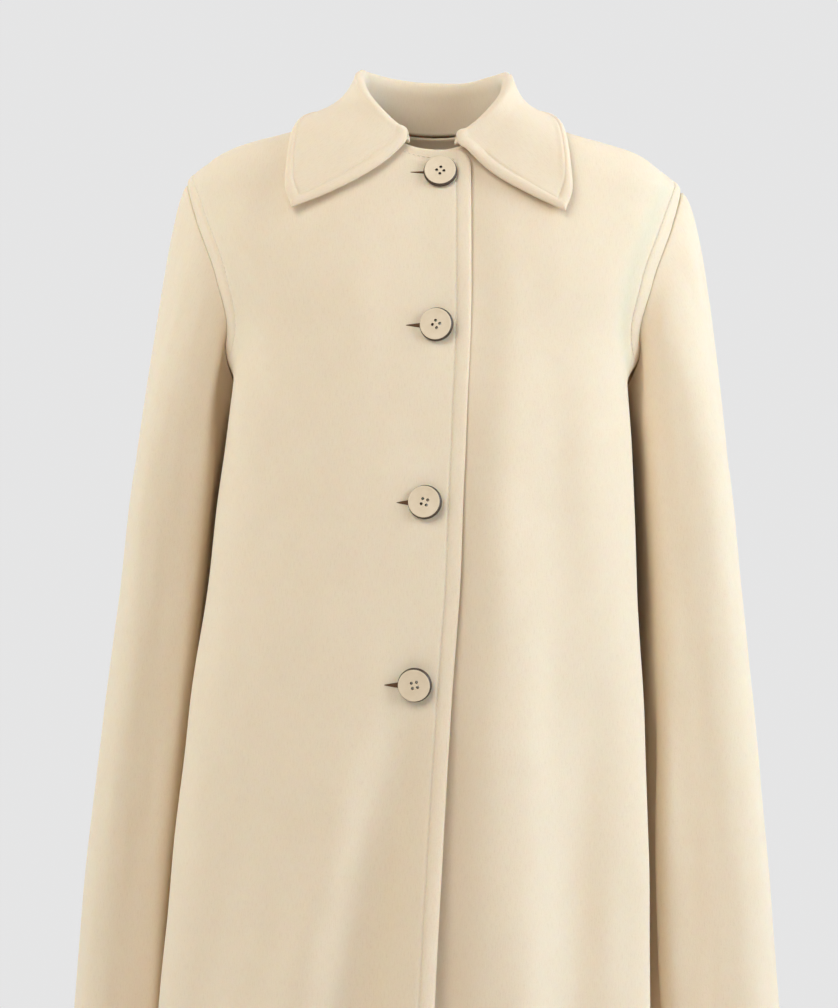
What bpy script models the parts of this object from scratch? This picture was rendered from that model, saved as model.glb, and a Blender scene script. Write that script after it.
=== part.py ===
"""Wool coat, worn and empty: A-line, buttoned, with a point collar and set-in sleeves.

Metres, +Z up, the front faces -Y and the wearer's left is +X.
The origin lies midway between the two shoulder-neck points, where the shoulders carry the coat.
"""

import math

import bmesh
import bpy
import numpy as np
from mathutils import Matrix, Vector
from mathutils.bvhtree import BVHTree

# The wearer's sides, as signs of x
RIGHT, LEFT = -1.0, 1.0

# Cloth
CLOTH = 0.0028
COLLAR_CLOTH = 0.0046
SEAM_GAP = 0.0003

# Heights
HEM_Z = -1.020
UNDERARM_Z = -0.250
TIP_Z = -0.066
NECK_SIDE_Z = -0.003
NECK_FRONT_Z = -0.040
NECK_BACK_Z = -0.014
NECK_ROUND = 2.4

# Body form: one row for each horizontal section
TORSO_COLUMNS = ("z", "half_width", "front", "back", "dent", "sway")
TORSO = (
    (0.000, 0.0640, 0.070, 0.064, 0.000, 0.000),
    (-0.003, 0.0740, 0.071, 0.067, 0.000, 0.000),
    (-0.019, 0.1190, 0.079, 0.083, 0.000, 0.000),
    (-0.033, 0.1690, 0.085, 0.092, 0.000, 0.000),
    (-0.046, 0.1920, 0.091, 0.100, 0.000, 0.000),
    (-0.066, 0.2115, 0.099, 0.108, 0.000, 0.000),
    (-0.100, 0.2110, 0.113, 0.118, 0.000, 0.000),
    (-0.150, 0.2020, 0.128, 0.127, 0.000, 0.000),
    (-0.200, 0.1880, 0.139, 0.133, 0.002, -0.001),
    (-0.250, 0.1950, 0.148, 0.138, 0.0275, -0.0035),
    (-0.290, 0.1995, 0.154, 0.141, 0.0275, -0.0050),
    (-0.330, 0.2025, 0.160, 0.144, 0.0260, -0.0070),
    (-0.400, 0.2085, 0.168, 0.150, 0.0270, -0.0095),
    (-0.500, 0.2190, 0.178, 0.158, 0.0320, -0.0155),
    (-0.600, 0.2275, 0.188, 0.169, 0.0355, -0.0205),
    (-0.700, 0.2345, 0.198, 0.180, 0.0385, -0.0250),
    (-0.850, 0.2430, 0.211, 0.196, 0.0430, -0.0300),
    (-1.020, 0.2540, 0.222, 0.212, 0.0240, -0.0360),
)
SQUARE_SIDE = 2.7
SQUARE_FRONT = 2.2
DENT_SPREAD = 0.50
SECTION_STEPS = 240

# The wearer's left shoulder is carried a little lower
TILT = 0.014
TILT_LOW_Z = -0.34
TILT_FADE = 0.20

# Front overlap: the right front lies above the left one
EDGE_TOP = 0.0305
EDGE_HEM = 0.022
EDGE_SWING_Z = -0.40
UNDERLAP = 0.028
CORNER_RADIUS = 0.014
LAP_STEP = 0.0046
LAP_FADE = 0.040
LIFT_HEM = 0.010
LIFT_START_Z = -0.45
LIFT_REACH = 0.060

# Armholes, as the angle that they bite into a section
BITE = {"front": 0.50, "back": 0.44}
BITE_POWER = 0.60

# Folds: signed arc distance from the centre line, wearer's left positive
FOLD_COLUMNS = ("face", "start_z", "at_start", "at_hem", "width", "height")
FOLDS = (
    ("front", -0.26, 0.078, 0.108, 0.026, 0.017),
    ("front", -0.34, 0.046, 0.056, 0.020, -0.009),
    ("front", -0.34, 0.124, 0.170, 0.026, -0.013),
    ("front", -0.40, -0.012, -0.140, 0.024, 0.016),
    ("front", -0.50, 0.004, -0.070, 0.022, -0.010),
    ("front", -0.40, -0.110, -0.215, 0.030, -0.012),
    ("back", -0.22, 0.082, 0.110, 0.034, 0.018),
    ("back", -0.30, 0.020, 0.040, 0.028, -0.014),
    ("back", -0.26, -0.050, -0.066, 0.030, 0.015),
    ("back", -0.36, -0.120, -0.150, 0.034, -0.013),
    ("back", -0.42, 0.165, 0.196, 0.026, -0.010),
)
FOLD_SIDE_FADE = 0.045
FOLD_NARROW, FOLD_WIDEN, FOLD_GROWTH = 0.75, 0.65, 1.1

# Sleeves: one row for each ring below the armhole
SLEEVE_COLUMNS = ("z", "outer_right", "outer_left", "half_right", "half_left", "half_depth", "centre_y")
SLEEVE = (
    (-0.300, 0.2550, 0.2510, 0.0350, 0.0400, 0.0730, 0.000),
    (-0.400, 0.2670, 0.2615, 0.0360, 0.0430, 0.0740, -0.001),
    (-0.520, 0.2820, 0.2740, 0.0372, 0.0475, 0.0740, -0.004),
    (-0.650, 0.2970, 0.2855, 0.0380, 0.0530, 0.0735, -0.008),
    (-0.785, 0.3080, 0.2955, 0.0388, 0.0550, 0.0725, -0.013),
)
SLEEVE_SQUARE = 2.8
CAP_BULGE = {RIGHT: 0.0058, LEFT: 0.0095}
CAP_PEAK, CAP_SPREAD = 0.46, 1.5
UNDERARM_EASE = 0.003
UNDERARM_PEAK = 0.8
SLEEVE_GAP = 1.3 * SEAM_GAP
MITRE_START = 0.25

# Collar: one row for each station from the centre back to the front end
COLLAR_COLUMNS = ("share", "stand", "lean", "fall_x", "fall_y", "fall_z")
COLLAR = (
    (0.00, 0.047, 0.004, 0.000, 0.120, -0.052),
    (0.20, 0.046, 0.005, 0.072, 0.104, -0.048),
    (0.48, 0.038, 0.016, 0.096, 0.010, -0.010),
    (0.66, 0.030, 0.013, 0.110, -0.058, -0.036),
    (0.84, 0.020, 0.007, 0.120, -0.100, -0.070),
    (1.00, 0.011, 0.002, 0.114, -0.112, -0.091),
)
COLLAR_END = {RIGHT: 0.021, LEFT: 0.017}
ROLL_RADIUS = 0.0062
ROLL_SHARE = 0.6
COLLAR_SEAT = 0.8 * CLOTH
COLLAR_CLEAR = 0.0033
COLLAR_SHIFT = -0.005
COLLAR_ROUNDS = 5
FALL_PLUMB, FALL_SPRING = 0.35, 0.6
NECK_CENTRE = (0.0, 0.005)

# Buttons: height, distance from the front edge, turn of the holes, tilts in degrees
BUTTON_COLUMNS = ("z", "inset", "turn", "pitch", "yaw")
BUTTONS = (
    (-0.0605, 0.0255, 38.0, 0.0, -3.0),
    (-0.1900, 0.0280, 53.0, -5.0, -11.0),
    (-0.3360, 0.0310, -15.0, 0.0, -11.0),
    (-0.4840, 0.0310, 11.0, -11.0, -10.0),
)
BUTTON_DIAMETER = 0.0282
BUTTON_THICK = 0.0042
BUTTON_HOLE = 0.0021
BUTTON_HOLE_PITCH = 0.0043
BUTTON_FOOT = 0.80
BUTTON_GAP = 1.4 * SEAM_GAP
BUTTON_STEPS, HOLE_STEPS = 24, 8
SEAT_STEP = 0.004

# Grid steps
FRONT_EDGE_COLUMNS = (0.0, 0.003, 0.008, 0.015, 0.030)
PANEL_COLUMNS = (7, 8)
LOWER_ROWS = 16
UPPER_ROWS = 10
SLEEVE_ROWS = 18
SLEEVE_CROWD = 1.25
STAND_STEPS, ROLL_STEPS, FALL_STEPS = 3, 4, 7
CREST_POWER = 1.2

CREAM = (0.78, 0.67, 0.50, 1.0)
HORN = (0.66, 0.56, 0.42, 1.0)


# Curves through the rows of a table
def hermite(at, knots, values, tangent):
    i = np.clip(np.searchsorted(knots, at) - 1, 0, len(knots) - 2)
    step = knots[i + 1] - knots[i]
    t = (at - knots[i]) / step
    if values.ndim > 1:
        spread = (slice(None),) + (None,) * (values.ndim - 1)
        step, t = step[spread], t[spread]
    near = (1 + 2 * t) * (1 - t) ** 2 * values[i] + t * (1 - t) ** 2 * step * tangent[i]
    far = t * t * (3 - 2 * t) * values[i + 1] + t * t * (t - 1) * step * tangent[i + 1]
    return near + far


def monotone(at, knots, values):
    """Cubic through the knots that adds no bump between them."""
    knots, values = np.asarray(knots, float), np.asarray(values, float)
    if knots[0] > knots[-1]:
        knots, values = knots[::-1], values[::-1]
    slope = np.diff(values) / np.diff(knots)
    tangent = np.zeros_like(values)
    tangent[0], tangent[-1] = slope[0], slope[-1]
    same = slope[:-1] * slope[1:] > 0
    total = np.where(same, slope[:-1] + slope[1:], 1.0)
    tangent[1:-1] = np.where(same, 2 * slope[:-1] * slope[1:] / total, 0.0)
    return hermite(np.clip(np.asarray(at, float), knots[0], knots[-1]), knots, values, tangent)


def through(at, knots, values):
    """Smooth cubic through points."""
    knots, values = np.asarray(knots, float), np.asarray(values, float)
    return hermite(np.asarray(at, float), knots, values, np.gradient(values, knots, axis=0))


def column(table, names, name):
    return np.array([row[names.index(name)] for row in table])


def torso(name, z):
    return monotone(z, column(TORSO, TORSO_COLUMNS, "z"), column(TORSO, TORSO_COLUMNS, name))


def ease(t):
    t = np.clip(t, 0.0, 1.0)
    return t * t * (3 - 2 * t)


def unit(v):
    return v / np.maximum(np.linalg.norm(v, axis=-1, keepdims=True), 1e-12)


def walked(points):
    step = np.linalg.norm(np.diff(points, axis=0), axis=1)
    return np.concatenate([[0.0], np.cumsum(step)])


def tilted(points):
    out = np.array(points, float)
    out[..., 2] -= TILT * out[..., 0] * ease((out[..., 2] - TILT_LOW_Z) / TILT_FADE)
    return out


# Body form, measured by arc distance from the centre line and by height
def sections(z, face):
    """Half sections at heights z, from the centre line to the side: x, y, arc length and angle."""
    z = np.atleast_1d(np.asarray(z, float))
    angle = np.linspace(0.0, math.pi / 2, SECTION_STEPS)
    x = torso("half_width", z)[:, None] * np.sin(angle) ** (2 / SQUARE_SIDE)
    x = x - torso("dent", z)[:, None] * np.exp(-(((math.pi / 2 - angle) / DENT_SPREAD) ** 4))
    y = torso(face, z)[:, None] * np.clip(np.cos(angle), 0.0, 1.0) ** (2 / SQUARE_FRONT)
    y[:, -1] = 0.0
    x[:, 0] = 0.0
    if face == "front":
        y = -y
    step = np.hypot(np.diff(x, axis=1), np.diff(y, axis=1))
    arc = np.concatenate([np.zeros((len(z), 1)), np.cumsum(step, axis=1)], axis=1)
    return x, y, arc, angle


def arc_at_angle(z, at, face):
    x, y, arc, angle = sections(z, face)
    return np.array([np.interp(a, angle, row) for a, row in zip(np.atleast_1d(at), arc)])


def side_arc(z, face):
    return sections(z, face)[2][:, -1]


def fold_height(signed_arc, z, face, limit):
    height = np.zeros_like(z)
    for of_face, start_z, at_start, at_hem, width, tall in FOLDS:
        if of_face == face:
            down = np.clip((start_z - z) / (start_z - HEM_Z), 0.0, 1.0)
            centre = at_start + (at_hem - at_start) * down
            spread = width * (FOLD_NARROW + FOLD_WIDEN * down)
            height += tall * down**FOLD_GROWTH * np.exp(-(((signed_arc - centre) / spread) ** 2))
    return height * ease((limit - np.abs(signed_arc)) / FOLD_SIDE_FADE)


def on_form(arc, z, side, face, lap=0.0):
    """Points of the form at arc distances and heights, pushed out by the folds and by lap."""
    arc, z, lap = np.broadcast_arrays(np.asarray(arc, float), np.asarray(z, float), lap)
    shape = arc.shape
    arc, z, lap = arc.ravel(), z.ravel(), lap.ravel()
    x, y, length, angle = sections(z, face)
    reach = np.minimum(np.abs(arc), length[:, -1])
    i = np.clip((length < reach[:, None]).sum(axis=1), 1, SECTION_STEPS - 1)
    row = np.arange(len(z))
    t = (reach - length[row, i - 1]) / np.maximum(length[row, i] - length[row, i - 1], 1e-12)
    px = x[row, i - 1] + t * (x[row, i] - x[row, i - 1])
    py = y[row, i - 1] + t * (y[row, i] - y[row, i - 1])
    lo, hi = np.maximum(i - 3, 0), np.minimum(i + 2, SECTION_STEPS - 1)
    tx, ty = x[row, hi] - x[row, lo], y[row, hi] - y[row, lo]
    norm = np.maximum(np.hypot(tx, ty), 1e-12)
    out = 1.0 if face == "front" else -1.0
    push = fold_height(side * arc, z, face, length[:, -1]) + lap
    px = (px + out * ty / norm * push) * np.where(arc < 0, -1.0, 1.0)
    py = py - out * tx / norm * push
    points = np.stack([side * px + torso("sway", z), py, z], axis=-1)
    return tilted(points).reshape(shape + (3,))


# Cut lines of the panels, as arc and height
def armhole(count, face):
    """Armhole from the underarm to the shoulder tip, evenly spaced along the cloth."""
    t = (1 - np.cos(np.linspace(0.0, math.pi, 400))) / 2
    z = UNDERARM_Z + (TIP_Z - UNDERARM_Z) * t
    angle = math.pi / 2 - BITE[face] * np.clip(np.sin(math.pi * t), 0.0, 1.0) ** BITE_POWER
    angle[0] = angle[-1] = math.pi / 2
    arc = arc_at_angle(z, angle, face)
    along = walked(on_form(arc, z, LEFT, face))
    at = np.linspace(0.0, along[-1], count)
    return np.interp(at, along, arc), np.interp(at, along, z)


def neckline(t, face):
    """Neckline from the centre (t = 0) to the shoulder-neck point (t = 1)."""
    turn = np.asarray(t) * math.pi / 2
    centre_z = NECK_FRONT_Z if face == "front" else NECK_BACK_Z
    z = NECK_SIDE_Z + (centre_z - NECK_SIDE_Z) * np.clip(np.cos(turn), 0.0, 1.0) ** NECK_ROUND
    share = torso("half_width", NECK_SIDE_Z) * np.sin(turn) / torso("half_width", z)
    angle = np.arcsin(np.clip(share, 0.0, 1.0) ** (SQUARE_SIDE / 2))
    return arc_at_angle(z, angle, face), z


def front_edge(z):
    """Distance of the visible front edge past the centre line."""
    down = np.clip((EDGE_SWING_Z - z) / (EDGE_SWING_Z - HEM_Z), 0.0, 1.0)
    return EDGE_TOP + (EDGE_HEM - EDGE_TOP) * down


def under_edge(z):
    return UNDERLAP + 0.0 * z


def centre_line(z):
    return 0.0 * z


def top_line(arcs, edge, face):
    """Heights of a panel's top cut, neckline then shoulder seam."""
    neck_arc, neck_z = neckline(np.linspace(0.0, 1.0, 60), face)
    slope_z = np.linspace(NECK_SIDE_Z, TIP_Z, 60)
    arc = np.concatenate([[-1.0], neck_arc, side_arc(slope_z, face)[1:]])
    height = np.interp(arcs, arc, np.concatenate([[neck_z[0]], neck_z, slope_z[1:]]))
    if edge > 0:
        inset = np.clip(CORNER_RADIUS - (arcs + edge), 0.0, CORNER_RADIUS)
        height = height - (CORNER_RADIUS - np.sqrt(CORNER_RADIUS**2 - inset**2))
    return height


def panel_grid(face, edge_of, near, columns, lower_rows, upper_rows):
    """Arc and height grids of a half panel: rows go up, columns from the centre to the side."""
    hole_arc, hole_z = armhole(upper_rows + 1, face)
    low_z = np.linspace(HEM_Z, UNDERARM_Z, lower_rows + 1)
    edge = float(edge_of(np.array(0.0)))
    corner_z = float(top_line(np.array([-edge]), edge, face)[0])
    even = np.linspace(0.0, 1.0, upper_rows + 1)
    side_climb = (hole_z - UNDERARM_Z) / (TIP_Z - UNDERARM_Z)
    edge_climb = 0.5 * side_climb + 0.5 * even
    edge_z = np.concatenate([low_z, (UNDERARM_Z + (corner_z - UNDERARM_Z) * edge_climb)[1:]])
    first = -edge_of(edge_z)[:, None]
    last = np.concatenate([side_arc(low_z, face), hole_arc[1:]])[:, None]
    near = np.asarray(near)[None, :]
    neck = side_arc(NECK_SIDE_Z, face)[0] - first[-1, 0] - near[0, -1]
    neck = neck / (last[-1, 0] - first[-1, 0] - near[0, -1])
    to_neck, to_tip = columns
    before, after = np.linspace(0.0, neck, to_neck + 1)[1:], np.linspace(neck, 1.0, to_tip + 1)[1:]
    share = np.concatenate([before, after])
    beyond = near[:, -1:] + (last - first - near[:, -1:]) * share
    arc = first + np.concatenate([np.repeat(near, len(first), axis=0), beyond], axis=1)

    across = (arc[-1] - arc[-1, 0]) / (arc[-1, -1] - arc[-1, 0])
    top_z = top_line(arc[-1], edge, face)
    top_z[-1] = TIP_Z
    crest = (1 - (1 - even) ** 2)[:, None]
    climb = (1 - ease(across)) * edge_climb[:, None] + ease(across) * side_climb[:, None]
    climb = climb + np.clip(np.sin(math.pi * across), 0.0, 1.0) ** CREST_POWER * (crest - climb)
    upper = UNDERARM_Z + (top_z - UNDERARM_Z) * climb
    z = np.concatenate([np.repeat(low_z[:, None], arc.shape[1], axis=1), upper[1:]])
    return arc, z


# Closed walls
def normals_of(grid, wrap=False):
    if wrap:
        across = np.roll(grid, -1, axis=1) - np.roll(grid, 1, axis=1)
    else:
        across = np.gradient(grid, axis=1)
    return unit(np.cross(across, np.gradient(grid, axis=0)))


def wall(name, outer, inner, wrap=False):
    """One closed body between two grids of points."""
    rows, cols = outer.shape[:2]
    points = np.concatenate([outer.reshape(-1, 3), inner.reshape(-1, 3)])

    def at(layer, i, j):
        return layer * rows * cols + i * cols + j % cols

    faces = []
    last = cols if wrap else cols - 1
    for i in range(rows - 1):
        for j in range(last):
            quad = ((i, j), (i, j + 1), (i + 1, j + 1), (i + 1, j))
            faces.append([at(0, *p) for p in quad])
            faces.append([at(1, *p) for p in reversed(quad)])
    for j in range(last):
        for i in (0, rows - 1):
            faces.append([at(0, i, j), at(1, i, j), at(1, i, j + 1), at(0, i, j + 1)])
    if not wrap:
        for i in range(rows - 1):
            for j in (0, cols - 1):
                faces.append([at(0, i, j), at(0, i + 1, j), at(1, i + 1, j), at(1, i, j)])
    mesh = bpy.data.meshes.new(name)
    mesh.from_pydata(points.tolist(), [], faces)
    shape = bmesh.new()
    shape.from_mesh(mesh)
    bmesh.ops.recalc_face_normals(shape, faces=shape.faces)
    bmesh.ops.triangulate(shape, faces=shape.faces)
    if shape.calc_volume(signed=True) < 0:
        bmesh.ops.reverse_faces(shape, faces=shape.faces)
    shape.to_mesh(mesh)
    shape.free()
    return bpy.data.objects.new(name, mesh)


# Body panels
def lap_push(arc, z, side):
    """How far the overlap stands off the form: the right front above, the left one beneath."""
    if side == RIGHT:
        down = ease((LIFT_START_Z - z) / (LIFT_START_Z - HEM_Z))
        return LIFT_HEM * down * ease(1 - (arc + front_edge(z)) / LIFT_REACH)
    return -LAP_STEP * ease((front_edge(z) + LAP_FADE - arc) / LAP_FADE)


def front_panel(side):
    """Outer points and outward normals of a front."""
    edge_of = front_edge if side == RIGHT else under_edge
    arc, z = panel_grid("front", edge_of, FRONT_EDGE_COLUMNS, PANEL_COLUMNS, LOWER_ROWS, UPPER_ROWS)
    grid = on_form(arc, z, side, "front", lap_push(arc, z, side))
    return grid, normals_of(grid) * side


def back_panel():
    arc, z = panel_grid("back", centre_line, (0.0,), PANEL_COLUMNS, LOWER_ROWS, UPPER_ROWS)
    left, right = on_form(arc, z, LEFT, "back"), on_form(arc, z, RIGHT, "back")
    grid = np.concatenate([left[:, :0:-1], right], axis=1)
    return grid, normals_of(grid)


def panel(name, grid, normals, face):
    """Wall of a body panel, kept to its own side of the side and shoulder seams."""
    keep = np.minimum if face == "front" else np.maximum
    limit = (-1.0 if face == "front" else 1.0) * SEAM_GAP / 2
    seam = np.abs(grid[..., 1]) < 1e-6
    flat = normals.copy()
    flat[seam, 1] = 0.0
    outer, inner = grid.copy(), grid - CLOTH * unit(flat)
    outer[..., 1] = keep(outer[..., 1], limit)
    inner[..., 1] = keep(inner[..., 1], limit)
    return wall(name, outer, inner)


# Sleeves
def ring(z, outer_x, half_width, half_depth, centre_y, side, count):
    """Sleeve ring from its inner point round the front, evenly spaced in each half."""
    turn = np.linspace(0.0, math.pi, 400)
    power = 2 / SLEEVE_SQUARE
    across = np.sign(np.cos(turn)) * np.abs(np.cos(turn)) ** power
    ahead = np.clip(np.sin(turn), 0.0, 1.0) ** power
    x = outer_x - half_width - half_width * across
    half = np.stack([x, centre_y - half_depth * ahead, np.full_like(x, z)], axis=-1)
    along = walked(half)
    at = np.linspace(0.0, along[-1], count + 1)
    front = np.stack([np.interp(at, along, half[:, k]) for k in range(3)], axis=-1)
    back = front[-2:0:-1].copy()
    back[:, 1] = 2 * centre_y - back[:, 1]
    points = np.concatenate([front, back])
    points[:, 0] *= side
    return points


def armhole_ring(count, side):
    """Armhole points from the underarm up the front and down the back."""
    front, back = [on_form(*armhole(count + 1, face), side, face) for face in ("front", "back")]
    return np.concatenate([front, back[-2:0:-1]])


def armhole_normals(side, front, back):
    """Panel normals round the armhole, in the order of its points."""
    ahead = front[LOWER_ROWS:, -1].copy()
    behind = back[LOWER_ROWS:, 0 if side == LEFT else -1]
    ahead[[0, -1], 1] = 0.0
    return unit(np.concatenate([ahead, behind[-2:0:-1]]))


def sleeve_grid(side, count, rows):
    """Outer points of a sleeve from armhole to cuff."""
    top = armhole_ring(count, side) + np.array([side * SLEEVE_GAP, 0.0, 0.0])
    outer, half = ("outer_left", "half_left") if side == LEFT else ("outer_right", "half_right")
    rings = [top]
    for row in SLEEVE:
        of = dict(zip(SLEEVE_COLUMNS, row))
        size = (of[half], of["half_depth"], of["centre_y"])
        rings.append(ring(of["z"], of[outer], *size, side, count))
    rings = np.array(rings)
    between = np.linalg.norm(np.diff(rings, axis=0), axis=2).mean(axis=1)
    knots = np.concatenate([[0.0], np.cumsum(between)])
    at = knots[-1] * np.linspace(0.0, 1.0, rows + 1) ** SLEEVE_CROWD
    grid = through(at, knots, rings)
    turn = np.linspace(0.0, 2 * math.pi, 2 * count + 1)[:-1]
    down = np.clip(at / knots[1], 0.0, 1.0)[:, None]
    cap = CAP_BULGE[side] * np.sin(math.pi * down**CAP_PEAK) * ((1 - np.cos(turn)) / 2) ** CAP_SPREAD
    under = UNDERARM_EASE * np.sin(math.pi * down**UNDERARM_PEAK) * (1 + np.cos(turn)) / 2
    grid[..., 0] += side * (cap + under)
    return grid


def sleeve(name, side, body_normals):
    """Sleeve wall, mitred to the panels where the shoulder turns down into it."""
    grid = sleeve_grid(side, UPPER_ROWS, SLEEVE_ROWS)
    normals = -side * normals_of(grid, wrap=True)
    start = unit(grid[1] - grid[0])
    ridge = np.clip(-(start * body_normals).sum(axis=1) / MITRE_START, 0.0, 1.0)[:, None]
    normals[0] = unit((1 - ridge) * normals[0] + ridge * body_normals)
    return wall(name, grid, grid - CLOTH * normals, wrap=True)


# Collar
def neck_path(side, front, back):
    """Neck seam of one half along the panels' top points, from the centre back to the collar's end."""
    middle, to_neck = back.shape[1] // 2, PANEL_COLUMNS[0]
    step = 1 if side == RIGHT else -1
    behind = back[-1, middle:middle + step * (to_neck + 1):step]
    first = len(FRONT_EDGE_COLUMNS) - 1
    ahead = front[-1, first:first + to_neck][::-1]
    path = np.concatenate([behind, ahead])
    end = COLLAR_END[side]
    inside = int(np.argmax(side * path[:, 0][to_neck:] < end)) + to_neck
    before, after = path[inside - 1], path[inside]
    cut = (side * before[0] - end) / (side * (before[0] - after[0]))
    path = np.concatenate([path[:inside], [before + cut * (after - before)]])
    halfway = (path[:-1] + path[1:]) / 2
    return np.insert(path, np.arange(1, len(path)), halfway, axis=0)


def collar_section(foot, inward, stand, lean, edge):
    """Points of one station: up the stand, over the roll and down the fall to the edge."""
    up = np.array([0.0, 0.0, 1.0])
    roll = min(ROLL_RADIUS, ROLL_SHARE * stand)
    hub = foot + inward * (lean - roll) + up * (stand - roll)
    rise = np.linspace(0.0, 1.0, STAND_STEPS + 1)[:-1, None]
    bow = rise * (1 - rise) * inward * lean
    turn = np.linspace(0.0, math.pi, ROLL_STEPS + 1)[:, None]
    t = np.linspace(0.0, 1.0, FALL_STEPS + 1)[1:, None]
    bend = hub + roll * (inward * np.cos(turn) + up * np.sin(turn))
    start = bend[-1]
    plumb = start - up * FALL_PLUMB * np.linalg.norm(edge - start)
    lead = FALL_SPRING * plumb + (1 - FALL_SPRING) * (start + edge) / 2
    fall = (1 - t) ** 2 * start + 2 * t * (1 - t) * lead + t * t * edge
    return np.concatenate([foot + (bend[0] - foot) * rise + bow, bend, fall])


def collar_half(side, path):
    """Upper face of half the collar: rows are stations from the centre back, columns go up and over."""
    share = walked(path) / walked(path)[-1]
    of = {name: column(COLLAR, COLLAR_COLUMNS, name) for name in COLLAR_COLUMNS}
    stand, lean = [monotone(share, of["share"], of[name]) for name in ("stand", "lean")]
    edge = through(share, of["share"], np.stack([of["fall_x"], of["fall_y"], of["fall_z"]], axis=-1))
    edge[:, 0] = side * edge[:, 0] + COLLAR_SHIFT
    edge = tilted(edge)
    rows = []
    for k, seam in enumerate(path):
        inward = unit(np.array([NECK_CENTRE[0] - seam[0], NECK_CENTRE[1] - seam[1], 0.0]))
        foot = seam + inward * COLLAR_SEAT + np.array([0.0, 0.0, 2 * SEAM_GAP])
        rows.append(collar_section(foot, inward, stand[k], lean[k], edge[k]))
    return np.array(rows)


def outer_tree(walls):
    """Search tree of the outer faces of walls, whose first half of the points lies outside."""
    points, faces = [], []
    for part in walls:
        first, outside = len(points), len(part.data.vertices) // 2
        points.extend(v.co.copy() for v in part.data.vertices)
        for face in part.data.polygons:
            if max(face.vertices) < outside:
                faces.append([first + k for k in face.vertices])
    return BVHTree.FromPolygons(points, faces)


def lift_off(points, tree, need):
    """Moves along the body's normal that bring each point at least need away from it."""
    move = np.zeros_like(points)
    for index in np.ndindex(points.shape[:2]):
        spot, normal, face, far = tree.find_nearest(Vector(points[index]))
        short = need - (Vector(points[index]) - spot).dot(normal)
        if short > 0:
            move[index] = np.array(normal) * short
    return move


def collar(name, panels, body):
    """Collar wall, its fall smoothed and lifted until both faces clear the body."""
    halves = []
    for side in (RIGHT, LEFT):
        halves.append(collar_half(side, neck_path(side, panels[side], panels["back"])))
    grid = np.concatenate([halves[0][:0:-1], halves[1]])
    first = STAND_STEPS + ROLL_STEPS + 1
    for _ in range(COLLAR_ROUNDS):
        along = grid[:-2, first:-1] + grid[2:, first:-1]
        over = grid[1:-1, first - 1:-2] + grid[1:-1, first + 1:]
        grid[1:-1, first:-1] = 0.6 * grid[1:-1, first:-1] + 0.1 * (along + over)
        grid[:, first:] += lift_off(grid[:, first:], body, COLLAR_CLOTH + COLLAR_CLEAR)
        under = grid + COLLAR_CLOTH * normals_of(grid)
        grid[:, first:] += lift_off(under[:, first:], body, COLLAR_CLEAR)
    return wall(name, grid, grid + COLLAR_CLOTH * normals_of(grid))


# Buttons
def turned(name, profile, steps):
    """Solid of revolution from a profile of radius and height."""
    mesh = bpy.data.meshes.new(name)
    edges = [(i, i + 1) for i in range(len(profile) - 1)]
    mesh.from_pydata([(r, 0.0, z) for r, z in profile], edges, [])
    shape = bpy.data.objects.new(name, mesh)
    spin = shape.modifiers.new("turn", "SCREW")
    spin.steps = spin.render_steps = steps
    spin.use_merge_vertices = True
    spin.merge_threshold = 0.00005
    spin.use_normal_calculate = True
    return shape


def thread_holes(name):
    """Cutter of four round holes in a square."""
    holes = bmesh.new()
    radius, out = BUTTON_HOLE / 2, BUTTON_HOLE_PITCH / math.sqrt(2)
    for k in range(4):
        turn = math.radians(45 + 90 * k)
        at = Matrix.Translation((out * math.cos(turn), out * math.sin(turn), BUTTON_THICK / 2))
        bmesh.ops.create_cone(holes, cap_ends=True, segments=HOLE_STEPS, radius1=radius, radius2=radius,
                              depth=3 * BUTTON_THICK, matrix=at)
    mesh = bpy.data.meshes.new(name)
    holes.to_mesh(mesh)
    holes.free()
    cutter = bpy.data.objects.new(name, mesh)
    cutter.display_type = "WIRE"
    cutter.hide_render = True
    return cutter


def button_pose(of):
    """Seat of a button on the right front, tilted and lifted until its rim clears the cloth."""
    z = np.array([of["z"]])
    arc = of["inset"] - front_edge(z)

    def cloth(da, dz):
        return on_form(arc + da, z + dz, RIGHT, "front", lap_push(arc + da, z + dz, RIGHT))[0]

    up = cloth(0.0, SEAT_STEP) - cloth(0.0, -SEAT_STEP)
    across = cloth(SEAT_STEP, 0.0) - cloth(-SEAT_STEP, 0.0)
    normal, plumb = Vector(unit(np.cross(up, across))), Vector((0.0, 0.0, 1.0))
    level = normal.cross(plumb).normalized()
    pitch = Matrix.Rotation(math.radians(of["pitch"]), 3, level)
    face = pitch @ Matrix.Rotation(math.radians(of["yaw"]), 3, "Z") @ normal
    side = plumb.cross(face).normalized()
    axes = Matrix((side, face.cross(side), face)).transposed().to_4x4()
    lift = BUTTON_FOOT * BUTTON_DIAMETER / 2 * math.sqrt(max(0.0, 1 - face.dot(normal) ** 2))
    seat = Vector(cloth(0.0, 0.0)) + normal * (BUTTON_GAP + lift)
    return Matrix.Translation(seat) @ axes @ Matrix.Rotation(math.radians(of["turn"]), 4, "Z")


def button(name, row, cutters):
    radius, thick = BUTTON_DIAMETER / 2, BUTTON_THICK
    profile = (
        (0.0, 0.78 * thick),
        (0.74 * radius, 0.80 * thick),
        (0.86 * radius, thick),
        (0.95 * radius, 0.97 * thick),
        (radius, 0.72 * thick),
        (0.97 * radius, 0.30 * thick),
        (BUTTON_FOOT * radius, 0.0),
        (0.0, 0.0),
    )
    shape = turned(name, profile, BUTTON_STEPS)
    cutter = thread_holes(name + "_holes")
    cutters.objects.link(cutter)
    cut = shape.modifiers.new("holes", "BOOLEAN")
    cut.operation = "DIFFERENCE"
    cut.object = cutter
    cut.solver = "EXACT"
    shape.matrix_world = cutter.matrix_world = button_pose(dict(zip(BUTTON_COLUMNS, row)))
    return shape


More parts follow.
